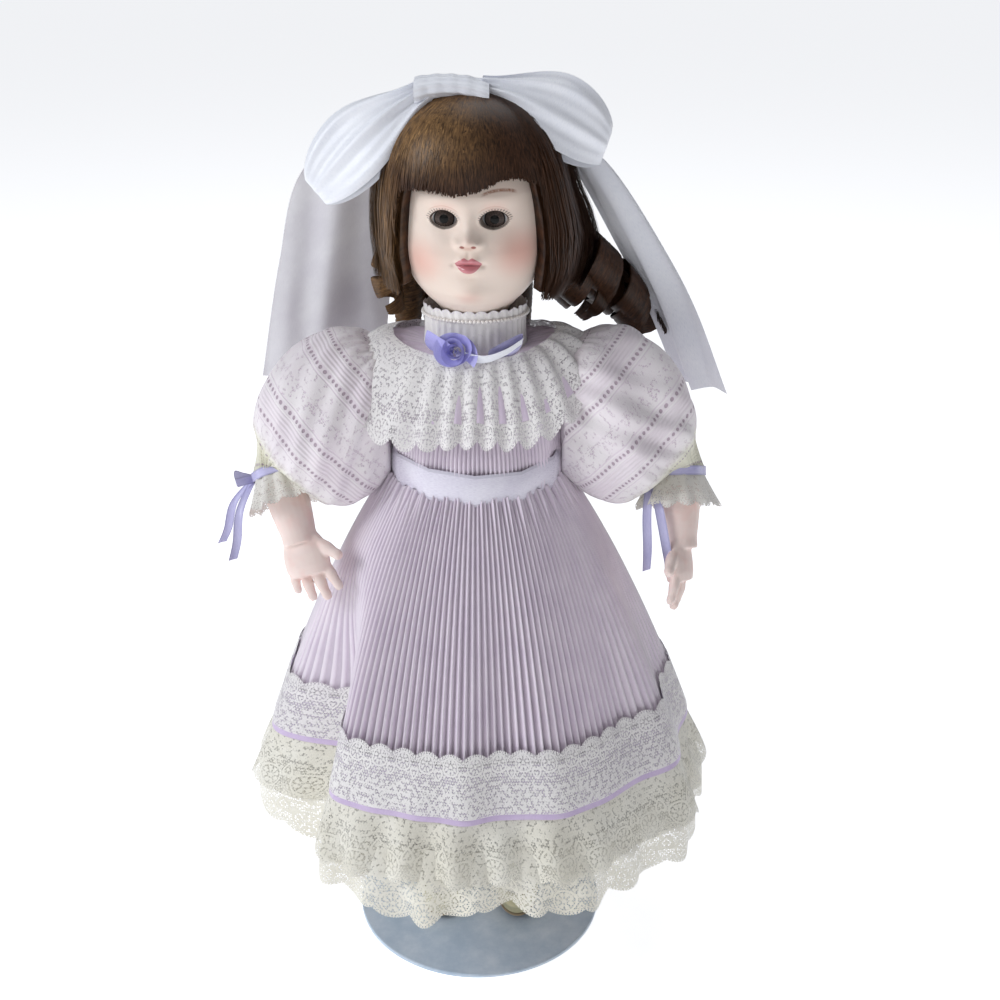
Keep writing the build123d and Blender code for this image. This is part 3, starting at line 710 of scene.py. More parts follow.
SIDES = {"left": 1, "right": -1}
BACK_KNOT, BACK_KNOT_SIZE = Vector((0, 45.5, 257)), Vector((5.2, 3.6, 5.4))
for name, side in SIDES.items():
    loop = [(side * 1, 44, 257), (side * 12, 49, 262), (side * 24, 52, 262), (side * 29, 51, 257),
            (side * 24, 48, 251), (side * 12, 46, 253), (side * 1, 44, 256)]
    ribbon_strip(f"sash_bow_loop_{name}", loop, ((0, 0.3, 1), (0, 0.3, 1)), SASH_WIDTH, sash_satin, "body",
                 cup=0.6)
    tail = [(side * 3, 45, 254), (side * 8, 54, 238), (side * 12, 61, 216), (side * 15, 68, 194)]
    ribbon_strip(f"sash_bow_tail_{name}", tail, ((1, 0.1, 0), (1, -0.2 * side, 0.1)), SASH_TAIL_WIDTH,
                 sash_satin, "body", cup=0.8)
knot_bm = bmesh.new()
bmesh.ops.create_uvsphere(knot_bm, u_segments=28, v_segments=18, radius=1)
knot_place = Matrix.Translation(BACK_KNOT * MM) @ Matrix.Diagonal((*(BACK_KNOT_SIZE * MM), 1))
bmesh.ops.transform(knot_bm, matrix=knot_place, verts=knot_bm.verts)
knot_layer = knot_bm.loops.layers.uv.new("UVMap")
for face in knot_bm.faces:
    for corner in face.loops:
        corner[knot_layer].uv = (corner.vert.co.x / MM, corner.vert.co.z / MM)
settle("sash_bow_knot", mesh_of(knot_bm, "sash_knot"), "body", sash_satin, ["sash_bow"])
print("sash and back bow ready")

# %% [markdown]
# ## Bertha collar
# The collar is two gathered rings sewn to the neck: a lilac satin flounce, and a wide lace flounce over
# it. Both lie over the shoulders and dip in front. The gathers are deepest at the free edge, so the edge
# flutes in and out and its scallops turn towards and away from the eye.

# %% Collar
COLLAR_DEPTH, COLLAR_CLOTH = 44, 430
collar_lace = lace("collar_lace", 14.0, 3.4, 1.5, (0.91, 0.89, 0.87), (0.80, 0.77, 0.77), dense=0.32)


def collar_path(angle):
    """Free edge of the collar: how far out it reaches and its height, at an angle from the front."""
    side = np.abs(np.sin(angle))
    front = ease(np.cos(angle))
    back = ease(-np.cos(angle))
    reach = 41.5 + 19 * side**2.2 - 1.5 * front - 3 * back
    height = 301 - 28 * front - 22 * back - 4 * side
    reach = reach + 5.0 * bell(angle, -1.25, 0.45)
    height = height + 3.0 * bell(angle, 1.15, 0.35) - 6.0 * bell(angle, -1.0, 0.4)
    return reach, height


def collar_layer(name, lift, share, wave, gathers, seed, finish, node=None, frill=0.0, begin=0.0):
    """A flounce that runs from share begin to share of the way from the neck to the free edge, lift above
    the lowest layer; frill widens its free edge."""
    def shape(u, v):
        angle = around(u)
        out = begin + (share - begin) * (1 - v)
        reach, height = collar_path(angle)
        neck = 23.2 + lift
        radius = neck + (reach - neck) * (out**0.85)
        crown = 311.5 + lift
        rise = 5.5 * np.sin(np.pi * np.clip(out * 1.15, 0, 1)) * np.abs(np.sin(angle)) ** 1.5
        z = crown - (crown - height) * out**1.7 + rise + lift
        flute = wave * out**0.8 * ripple(angle, gathers, seed)
        small = 0.8 * np.exp(-((out / 0.18) ** 2)) * ripple(angle, 46, seed + 1)
        radius = radius + flute * 0.75 + small + frill * out
        z = z + flute * 0.6
        return ring_place(angle, radius, z)

    mesh = drape(name, gathers * 12, 26, shape, (COLLAR_CLOTH, COLLAR_DEPTH), closed=True)
    obj = settle(name, mesh, "body", finish, [node] if node else [])


collar_layer("collar_flounce_lilac", 0.0, 0.80, 1.9, 24, 61, plain_lilac, "collar", 1.0)
collar_layer("collar_lace", 1.5, 1.0, 2.6, 26, 63, collar_lace, frill=1.5, begin=0.24)
print("collar ready")

# %% [markdown]
# ## Neckband, pearls and rosette
# The stand-up neckband is cream lace with a looped upper edge and a string of tiny pearls. The rosette is a
# ribbon wound into a rose: a strip whose radius grows as it turns and whose free edge leans outwards.

# %% Neckband
neck_lace = lace("neckband_lace", 5.2, 1.2, 1.1, (0.90, 0.88, 0.85), (0.82, 0.79, 0.78), dense=0.7,
                 lining=(0.80, 0.73, 0.81))


NECKBAND_TOP, NECKBAND_TALL = 330, 20.5


def neckband_shape(u, v):
    angle = around(u)
    z = NECKBAND_TOP - NECKBAND_TALL * v + 1.2 * np.cos(angle)
    tuck = 0.35 * ripple(angle, 38, 71)
    return ring_place(angle, 22.0 + 0.9 * (1 - v) ** 2 + 1.2 * v**3 + tuck, z)


neckband_mesh = drape("neckband", 400, 16, neckband_shape, (140, NECKBAND_TALL), closed=True)
neckband = settle("neckband_lace", neckband_mesh, "body", neck_lace, ["neckband"])


# %% Pearl string
def pearl_gloss():
    finish = Finish("pearl", Coat_Weight=0.8, Coat_Roughness=0.08)
    where = finish.point(*finish.place())
    glow = finish.noise(where, 0.6, 2.0)
    finish.set("Base Color", finish.mix(glow, (0.84, 0.78, 0.74), (0.93, 0.91, 0.88)))
    finish.set("Roughness", glow * 0.1 + 0.18)
    return finish


def add_bead(bm, place, radius, rounds):
    """A small ball; place and radius are in millimetres."""
    at = Matrix.Translation(Vector(place) * MM)
    bmesh.ops.create_icosphere(bm, subdivisions=rounds, radius=radius * MM, matrix=at)


PEARLS, PEARL_RADIUS, PEARL_RING, PEARL_Z = 84, 0.86, 23.35, 325.2
pearl_bm = bmesh.new()
for i in range(PEARLS):
    turn = 2 * math.pi * i / PEARLS
    place = (PEARL_RING * math.sin(turn), -PEARL_RING * math.cos(turn), PEARL_Z + 1.2 * math.cos(turn))
    add_bead(pearl_bm, place, PEARL_RADIUS, 2)
settle("pearl_string_beads", mesh_of(pearl_bm, "pearls"), "body", pearl_gloss(), ["pearl_string"])
print("pearls:", PEARLS)

# %% Rosette and its ribbon
ROSE = np.array((-8.5, -29.5, 315.5))
ROSE_FACE = np.array((-0.22, -0.90, 0.38))
ROSE_FACE /= np.linalg.norm(ROSE_FACE)
ROSE_SIDE = np.cross(ROSE_FACE, (0, 0, 1))
ROSE_SIDE /= np.linalg.norm(ROSE_SIDE)
ROSE_UP = np.cross(ROSE_SIDE, ROSE_FACE)


def rose_shape(u, v):
    turn = v * 2 * math.pi * 5.6
    growth = 0.5 + 6.6 * v**1.05
    petal = 1 + 0.15 * np.sin(turn * 1.62 + 1)
    lean = growth * petal * (0.72 + 0.45 * u * (0.4 + v))
    height = 3.4 * (1 - v) ** 0.7 * u + 1.0 * u - 1.6 * v
    return (ROSE[:, None] + ROSE_SIDE[:, None] * (lean * np.cos(turn))
            + ROSE_UP[:, None] * (lean * np.sin(turn)) + ROSE_FACE[:, None] * height)


settle("rosette_ribbon", drape("rosette", 6, 320, rose_shape, (4, 90)), "body", violet_ribbon, ["rosette"])
# Each neck ribbon: its width, its finish and the path of its middle.
NECK_RIBBONS = {
    "neck_ribbon_bow_right": (5.5, violet_ribbon, [
        (-9, -29, 315), (-15, -26, 318), (-21, -21, 320), (-19, -22, 316), (-10, -28, 314)]),
    "neck_ribbon_leaf": (5.0, lilac_ribbon, [
        (-8, -29, 314), (-3, -30, 311.5), (3, -29, 311), (7, -28, 312)]),
    "neck_ribbon_tail": (RIBBON_WIDTH, white_satin, [
        (-5, -30, 313.5), (4, -32, 312.5), (13, -30.5, 315), (21, -26, 319)]),
    "neck_ribbon_loop": (5.0, lilac_ribbon, [
        (6, -30, 314), (13, -28, 317.5), (20, -24, 319.5), (18, -25, 314.5), (8, -29, 313)]),
}
for name, (width, finish, path) in NECK_RIBBONS.items():
    ribbon_strip(name, path, ((0.1, -0.35, 1), (0.3, -0.5, 1)), width, finish, "body",
                 "neck_ribbon" if name == "neck_ribbon_tail" else None, 40, 0.5)
print("rosette and ribbons ready")

# %% [markdown]
# ## Puffed sleeves
# Each sleeve is a balloon of lilac lawn under patterned lace, gathered at the armhole and again above the
# cuff. Its axis runs from the shoulder down to the elbow, where its end turns down the forearm. The lace
# runs round the arm in bands: rows of eyelets, fine pintucks and flowers, so the pattern is written against
# the distance along the sleeve.

# %% Sleeve finish
BAND_REPEAT = 26.0


def sleeve_cloth():
    finish = Finish("sleeve_lace", Sheen_Weight=0.3, Sheen_Roughness=0.5)
    u, v = finish.cloth()
    band = v.centred(BAND_REPEAT)
    # Rows of eyelets every 2.4 mm, in two rows of each repeat: each hole is a dark dot, the lawn behind it in
    # painted shade.
    rows = (band.size() - 4.5).size()
    dot = 1 - ((u.centred(2.4) ** 2.0 + rows * rows) ** 0.5).ramp(0.45, 0.8)
    cords = 1 - (rows - 1.5).size().ramp(0.2, 0.55)
    tucks = (v * (2 * math.pi / 1.5)).wave() * (1 - band.size().ramp(2.4, 3.0))
    floral, _ = lace_pattern(finish, u, band + 20.0, 9.5, 0.6, 1.3, 0.55)
    in_floral = band.size().ramp(6.2, 7.0)
    thread = (floral * in_floral).either((1 - in_floral) * 0.72).either(cords) * (1 - dot)
    near_cuff = v.ramp(62.0, 74.0)
    lining = finish.mix(near_cuff, (0.68, 0.55, 0.66), (0.66, 0.62, 0.48))
    white = finish.mix(near_cuff, (0.84, 0.80, 0.81), (0.80, 0.79, 0.67))
    drift = finish.noise(finish.point(u, v), 0.05, 3.0).ramp(0.3, 0.7)
    colour = finish.mix(thread * (drift * 0.25 + 0.75), lining, white)
    # Each eyelet hole is darkened: painted shade over the lawn seen through it.
    finish.set("Base Color", finish.mix(dot, colour, (0.45, 0.36, 0.42)))
    finish.set("Roughness", 0.85)
    finish.bump(thread + tucks * 0.35 - dot, 0.3, 0.8)
    return finish


sleeve_finish = sleeve_cloth()
cuff_lace = lace("cuff_lace", 8.5, 2.2, 1.3, (0.84, 0.82, 0.78), (0.74, 0.71, 0.66), dense=0.6)
SLEEVE_TALL, CUFF_TALL = 88, 18.5
# How far below the elbow the sleeve ends and the cuff begins.
WRIST_DOWN = 5.5
# Distance along the sleeve's axis, the radius there, and how far the cloth sags below the axis.
PUFF = np.array([(0, 14, 0), (4, 21, 0), (12, 27, 0), (24, 31, 2), (38, 33, 5), (50, 31, 8), (60, 25, 9),
                 (66, 17, 6), (69, 12.5, 3)], float)
PUFF_START, PUFF_RUN = np.array((38.5, 1.0, 303.0)), np.array((52.0, -8.0, -45.0))
print("sleeve finish ready")

# %% Sleeves
# Each forearm runs this way from its elbow, with the thumb on this side.
FOREARM = {
    "left": ((0.02, -0.42, -0.90), (-0.35, -0.85, 0.35)),
    "right": ((0.30, -0.46, -0.83), (0.88, -0.25, 0.2)),
}
elbows = {j["name"][:-6]: np.array(j["pos_m"]) / MM for j in frame["joints"] if j["name"].endswith("_elbow")}


def arm_axes(side_name):
    """Across, thick and down directions of a hand, as columns."""
    down, thumb = (np.array(v, float) for v in FOREARM[side_name])
    down /= np.linalg.norm(down)
    across = thumb - down * (thumb @ down)
    across /= np.linalg.norm(across)
    return np.stack([across, np.cross(down, across), down], 1)


def across_of(run):
    """Two unit directions square to a run, the first as level as can be."""
    run = run / np.linalg.norm(run)
    first = np.cross(run, (0, 0, 1))
    first /= np.linalg.norm(first)
    return first, np.cross(first, run)


def puff_sleeve(side_name, seed):
    side = SIDES[side_name]
    start, run = PUFF_START * (side, 1, 1), PUFF_RUN * (side, 1, 1)
    one, two = across_of(run)
    run = run / np.linalg.norm(run)
    hinge, down = elbows[side_name], arm_axes(side_name)[:, 2]

    def shape(u, v):
        angle = u * 2 * math.pi * side
        row = through(PUFF, v).T
        ends = np.exp(-((v / 0.16) ** 2)) + np.exp(-(((1 - v) / 0.25) ** 2))
        middle = np.sin(np.pi * np.clip(v, 0, 1))
        radius = row[1] * (1 - 0.07 * middle * np.cos(2 * angle)) + 1.3 * ends * ripple(angle, 30, seed)
        radius = radius + middle * (2.2 * ripple(angle + v * 1.2, 5, seed + 1)
                                    + 0.9 * ripple(angle - v * 2.0, 13, seed + 2))
        place = (start[:, None] + run[:, None] * row[0] + one[:, None] * (np.cos(angle) * radius)
                 + two[:, None] * (np.sin(angle) * radius))
        place[2] -= row[2]
        body_side = np.maximum(39.4 - np.abs(place[0]), 0)
        place[0] += side * body_side * 0.9
        # The last fifth turns down the forearm and ends under the wrist ribbon.
        out = one[:, None] * np.cos(angle) + two[:, None] * np.sin(angle)
        out = out - down[:, None] * (down @ out)
        out = out / np.linalg.norm(out, axis=0)
        ring = hinge[:, None] + down[:, None] * WRIST_DOWN + out * (12.4 + 0.5 * ripple(angle, 30, seed))
        return place + (ring - place) * ease((v - 0.80) / 0.20)

    mesh = outward(drape(f"sleeve_{side_name}", 300, 70, shape, (180, SLEEVE_TALL), closed=True))
    obj = settle(f"sleeve_{side_name}_puff", mesh, None, sleeve_finish, [f"sleeve_{side_name}"])
    tuple((hinge - run * 16) * MM)
    tuple((hinge + run * 4) * MM)
    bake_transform(obj)


for i, name in enumerate(SIDES):
    puff_sleeve(name, 80 + 7 * i)
print("sleeves ready, elbows at", {k: v.round(1).tolist() for k, v in elbows.items()})

# %% [markdown]
# ## Forearms and hands
# The lower arms are porcelain, cast in one piece with the hand. Fingers and palm are built from tapered
# tubes and ovals, then fused by a voxel remesh and smoothed, which rounds every joint as slip casting does.

# %% Bisque
SKIN_DEPTH = (0.004, 0.002, 0.0015)


def porcelain(name):
    """Unglazed porcelain, which lets a little light in."""
    finish = Finish(name, Subsurface_Weight=0.06, Specular_IOR_Level=0.35)
    finish.shader.inputs["Subsurface Radius"].default_value = SKIN_DEPTH
    return finish


def limb_bisque(name):
    """Porcelain with a faint pink that is stronger in soft patches."""
    finish = porcelain(name)
    where = finish.point(*finish.place())
    mottle = finish.noise(where, 0.05, 4.0).ramp(0.35, 0.7)
    colour = finish.mix(mottle * 0.25, (0.86, 0.71, 0.66), (0.84, 0.66, 0.60))
    blush = finish.noise(where, 0.12, 2.0).ramp(0.45, 0.85) * 0.5
    finish.set("Base Color", finish.mix(blush, colour, (0.82, 0.50, 0.45)))
    finish.set("Roughness", finish.noise(where, 0.4, 3.0) * 0.12 + 0.42)
    finish.bump(finish.noise(where, 2.5, 3.0), 0.04, 0.35)
    return finish


hand_bisque, leg_bisque = limb_bisque("bisque_hands"), limb_bisque("bisque_legs")
for node in ("lower_leg_left", "lower_leg_right", "shoulder_plate"):
    paint(frame["nodes"][node].data, leg_bisque)
print("bisque ready")

# %% Hands
# Each digit: where it starts (across, thick, down), how it leans, its length and radius, and its curl.
TUBE_SIDES, CAST_VOXEL = 20, 0.55
DIGITS = {
    "index": ((8.2, 0, 16), (0.20, 0.0, 1), 15.5, 2.9, 0.22),
    "middle": ((2.9, 0, 17.5), (0.05, 0.0, 1), 16.5, 3.0, 0.26),
    "ring": ((-2.6, 0, 17), (-0.10, 0.0, 1), 15.5, 2.9, 0.34),
    "little": ((-7.6, 0, 15), (-0.30, 0.0, 1), 12.5, 2.6, 0.42),
    "thumb": ((7.4, 0.6, 6.0), (0.90, 0.12, 0.90), 16.0, 3.3, -0.10),
}


def add_tube(bm, axes, origin, points, radii, flat=1.0):
    """A run of rings joined into a tube, closed at both ends; points are (across, thick, down), and flat
    thins the tube."""
    rings = []
    for k, (point, radius) in enumerate(zip(points, radii)):
        ahead = np.array(points[min(k + 1, len(points) - 1)]) - np.array(points[max(k - 1, 0)])
        ahead = ahead / np.linalg.norm(ahead)
        side = np.cross((0, 1, 0), ahead)
        side = side / np.linalg.norm(side)
        rise = np.cross(ahead, side)
        at_end = k in (0, len(points) - 1)
        made = bmesh.ops.create_circle(bm, cap_ends=at_end, segments=TUBE_SIDES, radius=1)["verts"]
        for i, vert in enumerate(made):
            turn = 2 * math.pi * i / TUBE_SIDES
            local = np.array(point) + side * math.cos(turn) * radius + rise * math.sin(turn) * radius * flat
            vert.co = Vector((origin + axes @ local) * MM)
        rings.append(made)
    for low, high in zip(rings, rings[1:]):
        for i in range(TUBE_SIDES):
            j = (i + 1) % TUBE_SIDES
            bm.faces.new((low[i], low[j], high[j], high[i]))


def cast_hand(side_name):
    axes, origin = arm_axes(side_name), elbows[side_name]
    bend = SIDES[side_name]
    bm = bmesh.new()
    rows = [(0, 7.2), (5, 7.8), (14, 9.8), (24, 9.8), (32, 8.9), (37, 8.2), (42, 8.4)]
    add_tube(bm, axes, origin, [(0, 0, d) for d, _ in rows], [r for _, r in rows])
    palm = [(0, 0.0, 38), (0.2, 0.3, 43), (0.4, 0.5, 48), (0.3, 0.3, 53), (0.0, 0.0, 57)]
    add_tube(bm, axes, origin, palm, [8.2, 10.0, 11.2, 11.2, 9.8], 0.56)
    thumb_root = [(5.0, 0.6 * bend, 40.5), (6.6, 0.6 * bend, 44.5), (8.0, 0.6 * bend, 48.5)]
    add_tube(bm, axes, origin, thumb_root, [4.0, 4.4, 3.2], 0.9)
    for start, lean, long, radius, curl in DIGITS.values():
        start = np.array(start) + (0, 0, 37)
        lean = np.array(lean) / np.linalg.norm(lean)
        points, radii = [], []
        for t in np.linspace(0, 1, 9):
            sway = np.array((0, bend * curl * 12 * t * t, -abs(curl) * 3.5 * t**2.5))
            points.append(tuple(start + lean * long * (t * 1.12 - 0.12) + sway))
            knuckle = 1 + 0.08 * math.cos(t * 4 * math.pi) - 0.22 * t
            radii.append(radius * knuckle * (1 if t < 0.95 else 0.62))
        add_tube(bm, axes, origin, points, radii, 0.92)
    bmesh.ops.recalc_face_normals(bm, faces=bm.faces)
    obj = bpy.data.objects.new("cast", mesh_of(bm, f"forearm_{side_name}"))
    scene.collection.objects.link(obj)
    fuse = obj.modifiers.new("fuse", "REMESH")
    fuse.mode, fuse.voxel_size = "VOXEL", CAST_VOXEL * MM
    soften = obj.modifiers.new("soften", "SMOOTH")
    soften.factor, soften.iterations = 0.5, 7
    cast = bpy.data.meshes.new_from_object(obj.evaluated_get(bpy.context.evaluated_depsgraph_get()))
    bpy.data.objects.remove(obj)
    return settle(f"forearm_{side_name}_bisque", cast, f"forearm_{side_name}", hand_bisque,
                  [f"forearm_{side_name}"])


hands = {name: cast_hand(name) for name in SIDES}
print("hands:", {k: len(o.data.polygons) for k, o in hands.items()})

# %% Cuffs and wrist ribbons
RIBBON_ENDS = {"left": [(78, -31, 211), (88, -36, 214)], "right": [(-119, -14, 217), (-112, -26, 214)]}
# Every tail and loop of a wrist ribbon is tied at this radius and distance down the forearm.
WRIST_KNOT = (13.6, 6.0)


def cuff(side_name, seed):
    axes, origin = arm_axes(side_name), elbows[side_name]

    def shape(u, v):
        turn = 2 * math.pi * u
        flare = (1 - v) ** 1.1
        radius = 11.0 + 8.2 * flare + 1.4 * (0.15 + flare) * ripple(turn, 11, seed)
        down = WRIST_DOWN + 17.5 * (1 - v) + 1.4 * flare * ripple(turn, 8, seed + 1)
        local = np.stack([radius * np.cos(turn), radius * np.sin(turn), down])
        return origin[:, None] + axes @ local

    mesh = outward(drape("cuff", 260, 18, shape, (110, CUFF_TALL), closed=True))
    obj = settle(f"cuff_{side_name}_lace", mesh, f"forearm_{side_name}", cuff_lace, [f"cuff_{side_name}"])


def wrist_tie(side_name):
    axes, origin = arm_axes(side_name), elbows[side_name]
    body = f"forearm_{side_name}"

    def at(turn, radius, down):
        return origin + axes @ np.array((radius * math.cos(turn), radius * math.sin(turn), down))

    def band(u, v):
        turn = 2 * math.pi * v
        radius = 12.7 + 0.3 * np.cos(turn * 7)
        local = np.stack([radius * np.cos(turn), radius * np.sin(turn), 4.4 + RIBBON_WIDTH * u])
        return origin[:, None] + axes @ local

    settle(f"wrist_band_{side_name}", drape("band", 4, 90, band, (RIBBON_WIDTH, 80)), body, lilac_ribbon,
           [f"wrist_ribbon_{side_name}"])
    ends = np.array(RIBBON_ENDS[side_name], float)
    toward = axes.T @ (ends[0] - origin)
    turn = math.atan2(toward[1], toward[0])
    knot = at(turn, *WRIST_KNOT)
    level = np.array((0, 0, 1.0))
    for i, end in enumerate(ends):
        middle = knot * 0.55 + end * 0.45 + (end - origin) * (0.08, 0.08, 0) + level * 3
        path = [knot, middle, knot * 0.2 + end * 0.8 + level, end]
        ribbon_strip(f"wrist_tail_{side_name}_{i + 1}", path, ((0.8, -0.5, 0.2), (0.9, 0.4, 0.1)),
                     RIBBON_WIDTH, lilac_ribbon, body, steps=24, cup=0.5)
    for i, lift in enumerate((0.5, -0.5)):
        out = at(turn + lift, 20.5, 7.5 - i)
        top = at(turn + lift * 0.9, 19.5, 4.0 - i)
        path = [knot, (knot + top) / 2, top, out, (knot + out) / 2, knot]
        ribbon_strip(f"wrist_loop_{side_name}_{i + 1}", path, (axes[:, 2], axes[:, 2]), RIBBON_WIDTH,
                     lilac_ribbon, body, steps=30)


for i, name in enumerate(SIDES):
    cuff(name, 90 + i)
    wrist_tie(name)
print("cuffs and wrist ribbons ready")

# %% [markdown]
# ## Head
# The head is slip-cast porcelain, so it is one smooth shell: a skull and neck, with features pushed out or
# in by a fraction of a millimetre to a few millimetres. It starts as a closed grid round the neck axis, finer
# at the front, and each feature is one soft bump. The face looks slightly to the doll's right.

# %% Head surface
FACE_TURN = math.radians(3.5)
EYE_AT, EYE_HIGH, MOUTH_HIGH, NOSE_HIGH = 10.5, 372.0, 354.2, 364.2
# Half the width of an eye opening, and its height above and below the pupil.
EYE_HALF, EYE_ABOVE, EYE_BELOW = 5.5, 3.9, 3.5
# Height, half-width, reach to the front, reach to the back.
SKULL = np.array([
    (319.3, 13.3, 13.5, 13.5), (325, 13.9, 14.2, 14.2), (329.5, 16.0, 20.0, 15.0), (332.5, 19.5, 26.6, 17),
    (337, 24.0, 30.6, 21), (345, 29.3, 33.2, 27), (355, 32.0, 34.6, 31), (365, 32.6, 34.8, 33.4),
    (375, 32.3, 34.8, 34.4), (385, 30.6, 33.6, 33.4), (394, 26.0, 28.0, 29.0), (400.8, 19.5, 19.5, 23.0)])
NECK_Z, CROWN_Z = SKULL[0, 0], SKULL[-1, 0]
# Each feature: across, high, spread across, spread high, push out (mirrored when across isn't 0).
FEATURES = [
    (EYE_AT, EYE_HIGH, 7.2, 5.8, -2.7), (11.5, 380.5, 7.0, 2.6, 0.7), (15.5, 356.5, 8.5, 8.0, 2.0),
    (0, 341, 6.6, 4.6, 2.6), (0, 354.5, 8.5, 5.5, 1.7), (0, 369.5, 2.7, 6.0, 1.4),
    (0, NOSE_HIGH, 3.7, 3.3, 4.6), (4.0, 363.2, 1.9, 1.8, 2.2), (0, 360.6, 2.2, 1.2, -0.5),
    (0, 358.4, 0.9, 1.8, -0.5),
    (2.2, 356.4, 2.3, 1.4, 1.5), (0, 352.0, 3.4, 1.5, 2.0), (0, MOUTH_HIGH, 4.4, 0.5, -1.3),
    (6.0, 354.0, 1.4, 1.3, -0.8), (0, 348.6, 4.5, 1.7, -1.0), (7.5, 366.5, 4.0, 3.0, -0.5),
]


def almond(across, high):
    """1 on the rim of an eye opening, less inside it, more outside."""
    x, z = np.abs(np.abs(across) - EYE_AT) / EYE_HALF, high - EYE_HIGH
    z = np.where(z > 0, z / EYE_ABOVE, -z / EYE_BELOW)
    return (x**1.8 + z**1.8) ** (1 / 1.8)


def face_shape(u, v):
    turn = around(u)
    angle = turn - 0.62 * np.sin(turn)
    z = NECK_Z + (CROWN_Z - NECK_Z) * np.clip(v / 0.985, 0, 1)
    rows = [np.interp(z, SKULL[:, 0], SKULL[:, k]) for k in (1, 2, 3)]
    for step in (1.2, 2.2, 3.2):
        for k in range(3):
            rows[k] = (rows[k] + np.interp(z + step, SKULL[:, 0], SKULL[:, k + 1])
                       + np.interp(z - step, SKULL[:, 0], SKULL[:, k + 1])) / 3
    half, front, back = rows
    deep = np.where(np.cos(angle) > 0, front, back)
    x, y = half * np.sin(angle), -deep * np.cos(angle)
    facing = ease(np.cos(angle) * 1.6)
    push = np.zeros_like(x)
    for across, high, wide, tall, out in FEATURES:
        for side in (1, -1) if across else (1,):
            push += out * np.exp(-(((x - side * across) / wide) ** 2) - ((z - high) / tall) ** 2)
    rim = almond(x, z)
    push += 0.55 * np.exp(-(((rim - 1.16) / 0.13) ** 2)) * ease((z - EYE_HIGH + 4) / 6)
    push -= 5.5 * ease((1.03 - rim) / 0.12)
    x, y = x + push * facing * np.sin(angle) * 0.3, y - push * facing * 0.98
    shut = np.clip((v - 0.985) / 0.015, 0, 1)
    x, y = x * (1 - shut), y * (1 - shut)
    c, s = math.cos(FACE_TURN), math.sin(FACE_TURN)
    return x * c + y * s, y * c - x * s, z


def face_axes(finish):
    x, y, z = finish.place()
    return x * math.cos(FACE_TURN) - y * math.sin(FACE_TURN), y, z


def spot(x, z, across, high, wide, tall, soft=1.0):
    """1 in the middle of an oval spot on the face, falling to 0 at its edge over the soft share of it."""
    away = ((x - across) * (1 / wide)) ** 2.0 + ((z - high) * (1 / tall)) ** 2.0
    return 1 - (away ** 0.5).ramp(1.0 - soft, 1.0)


print("face formulas ready")

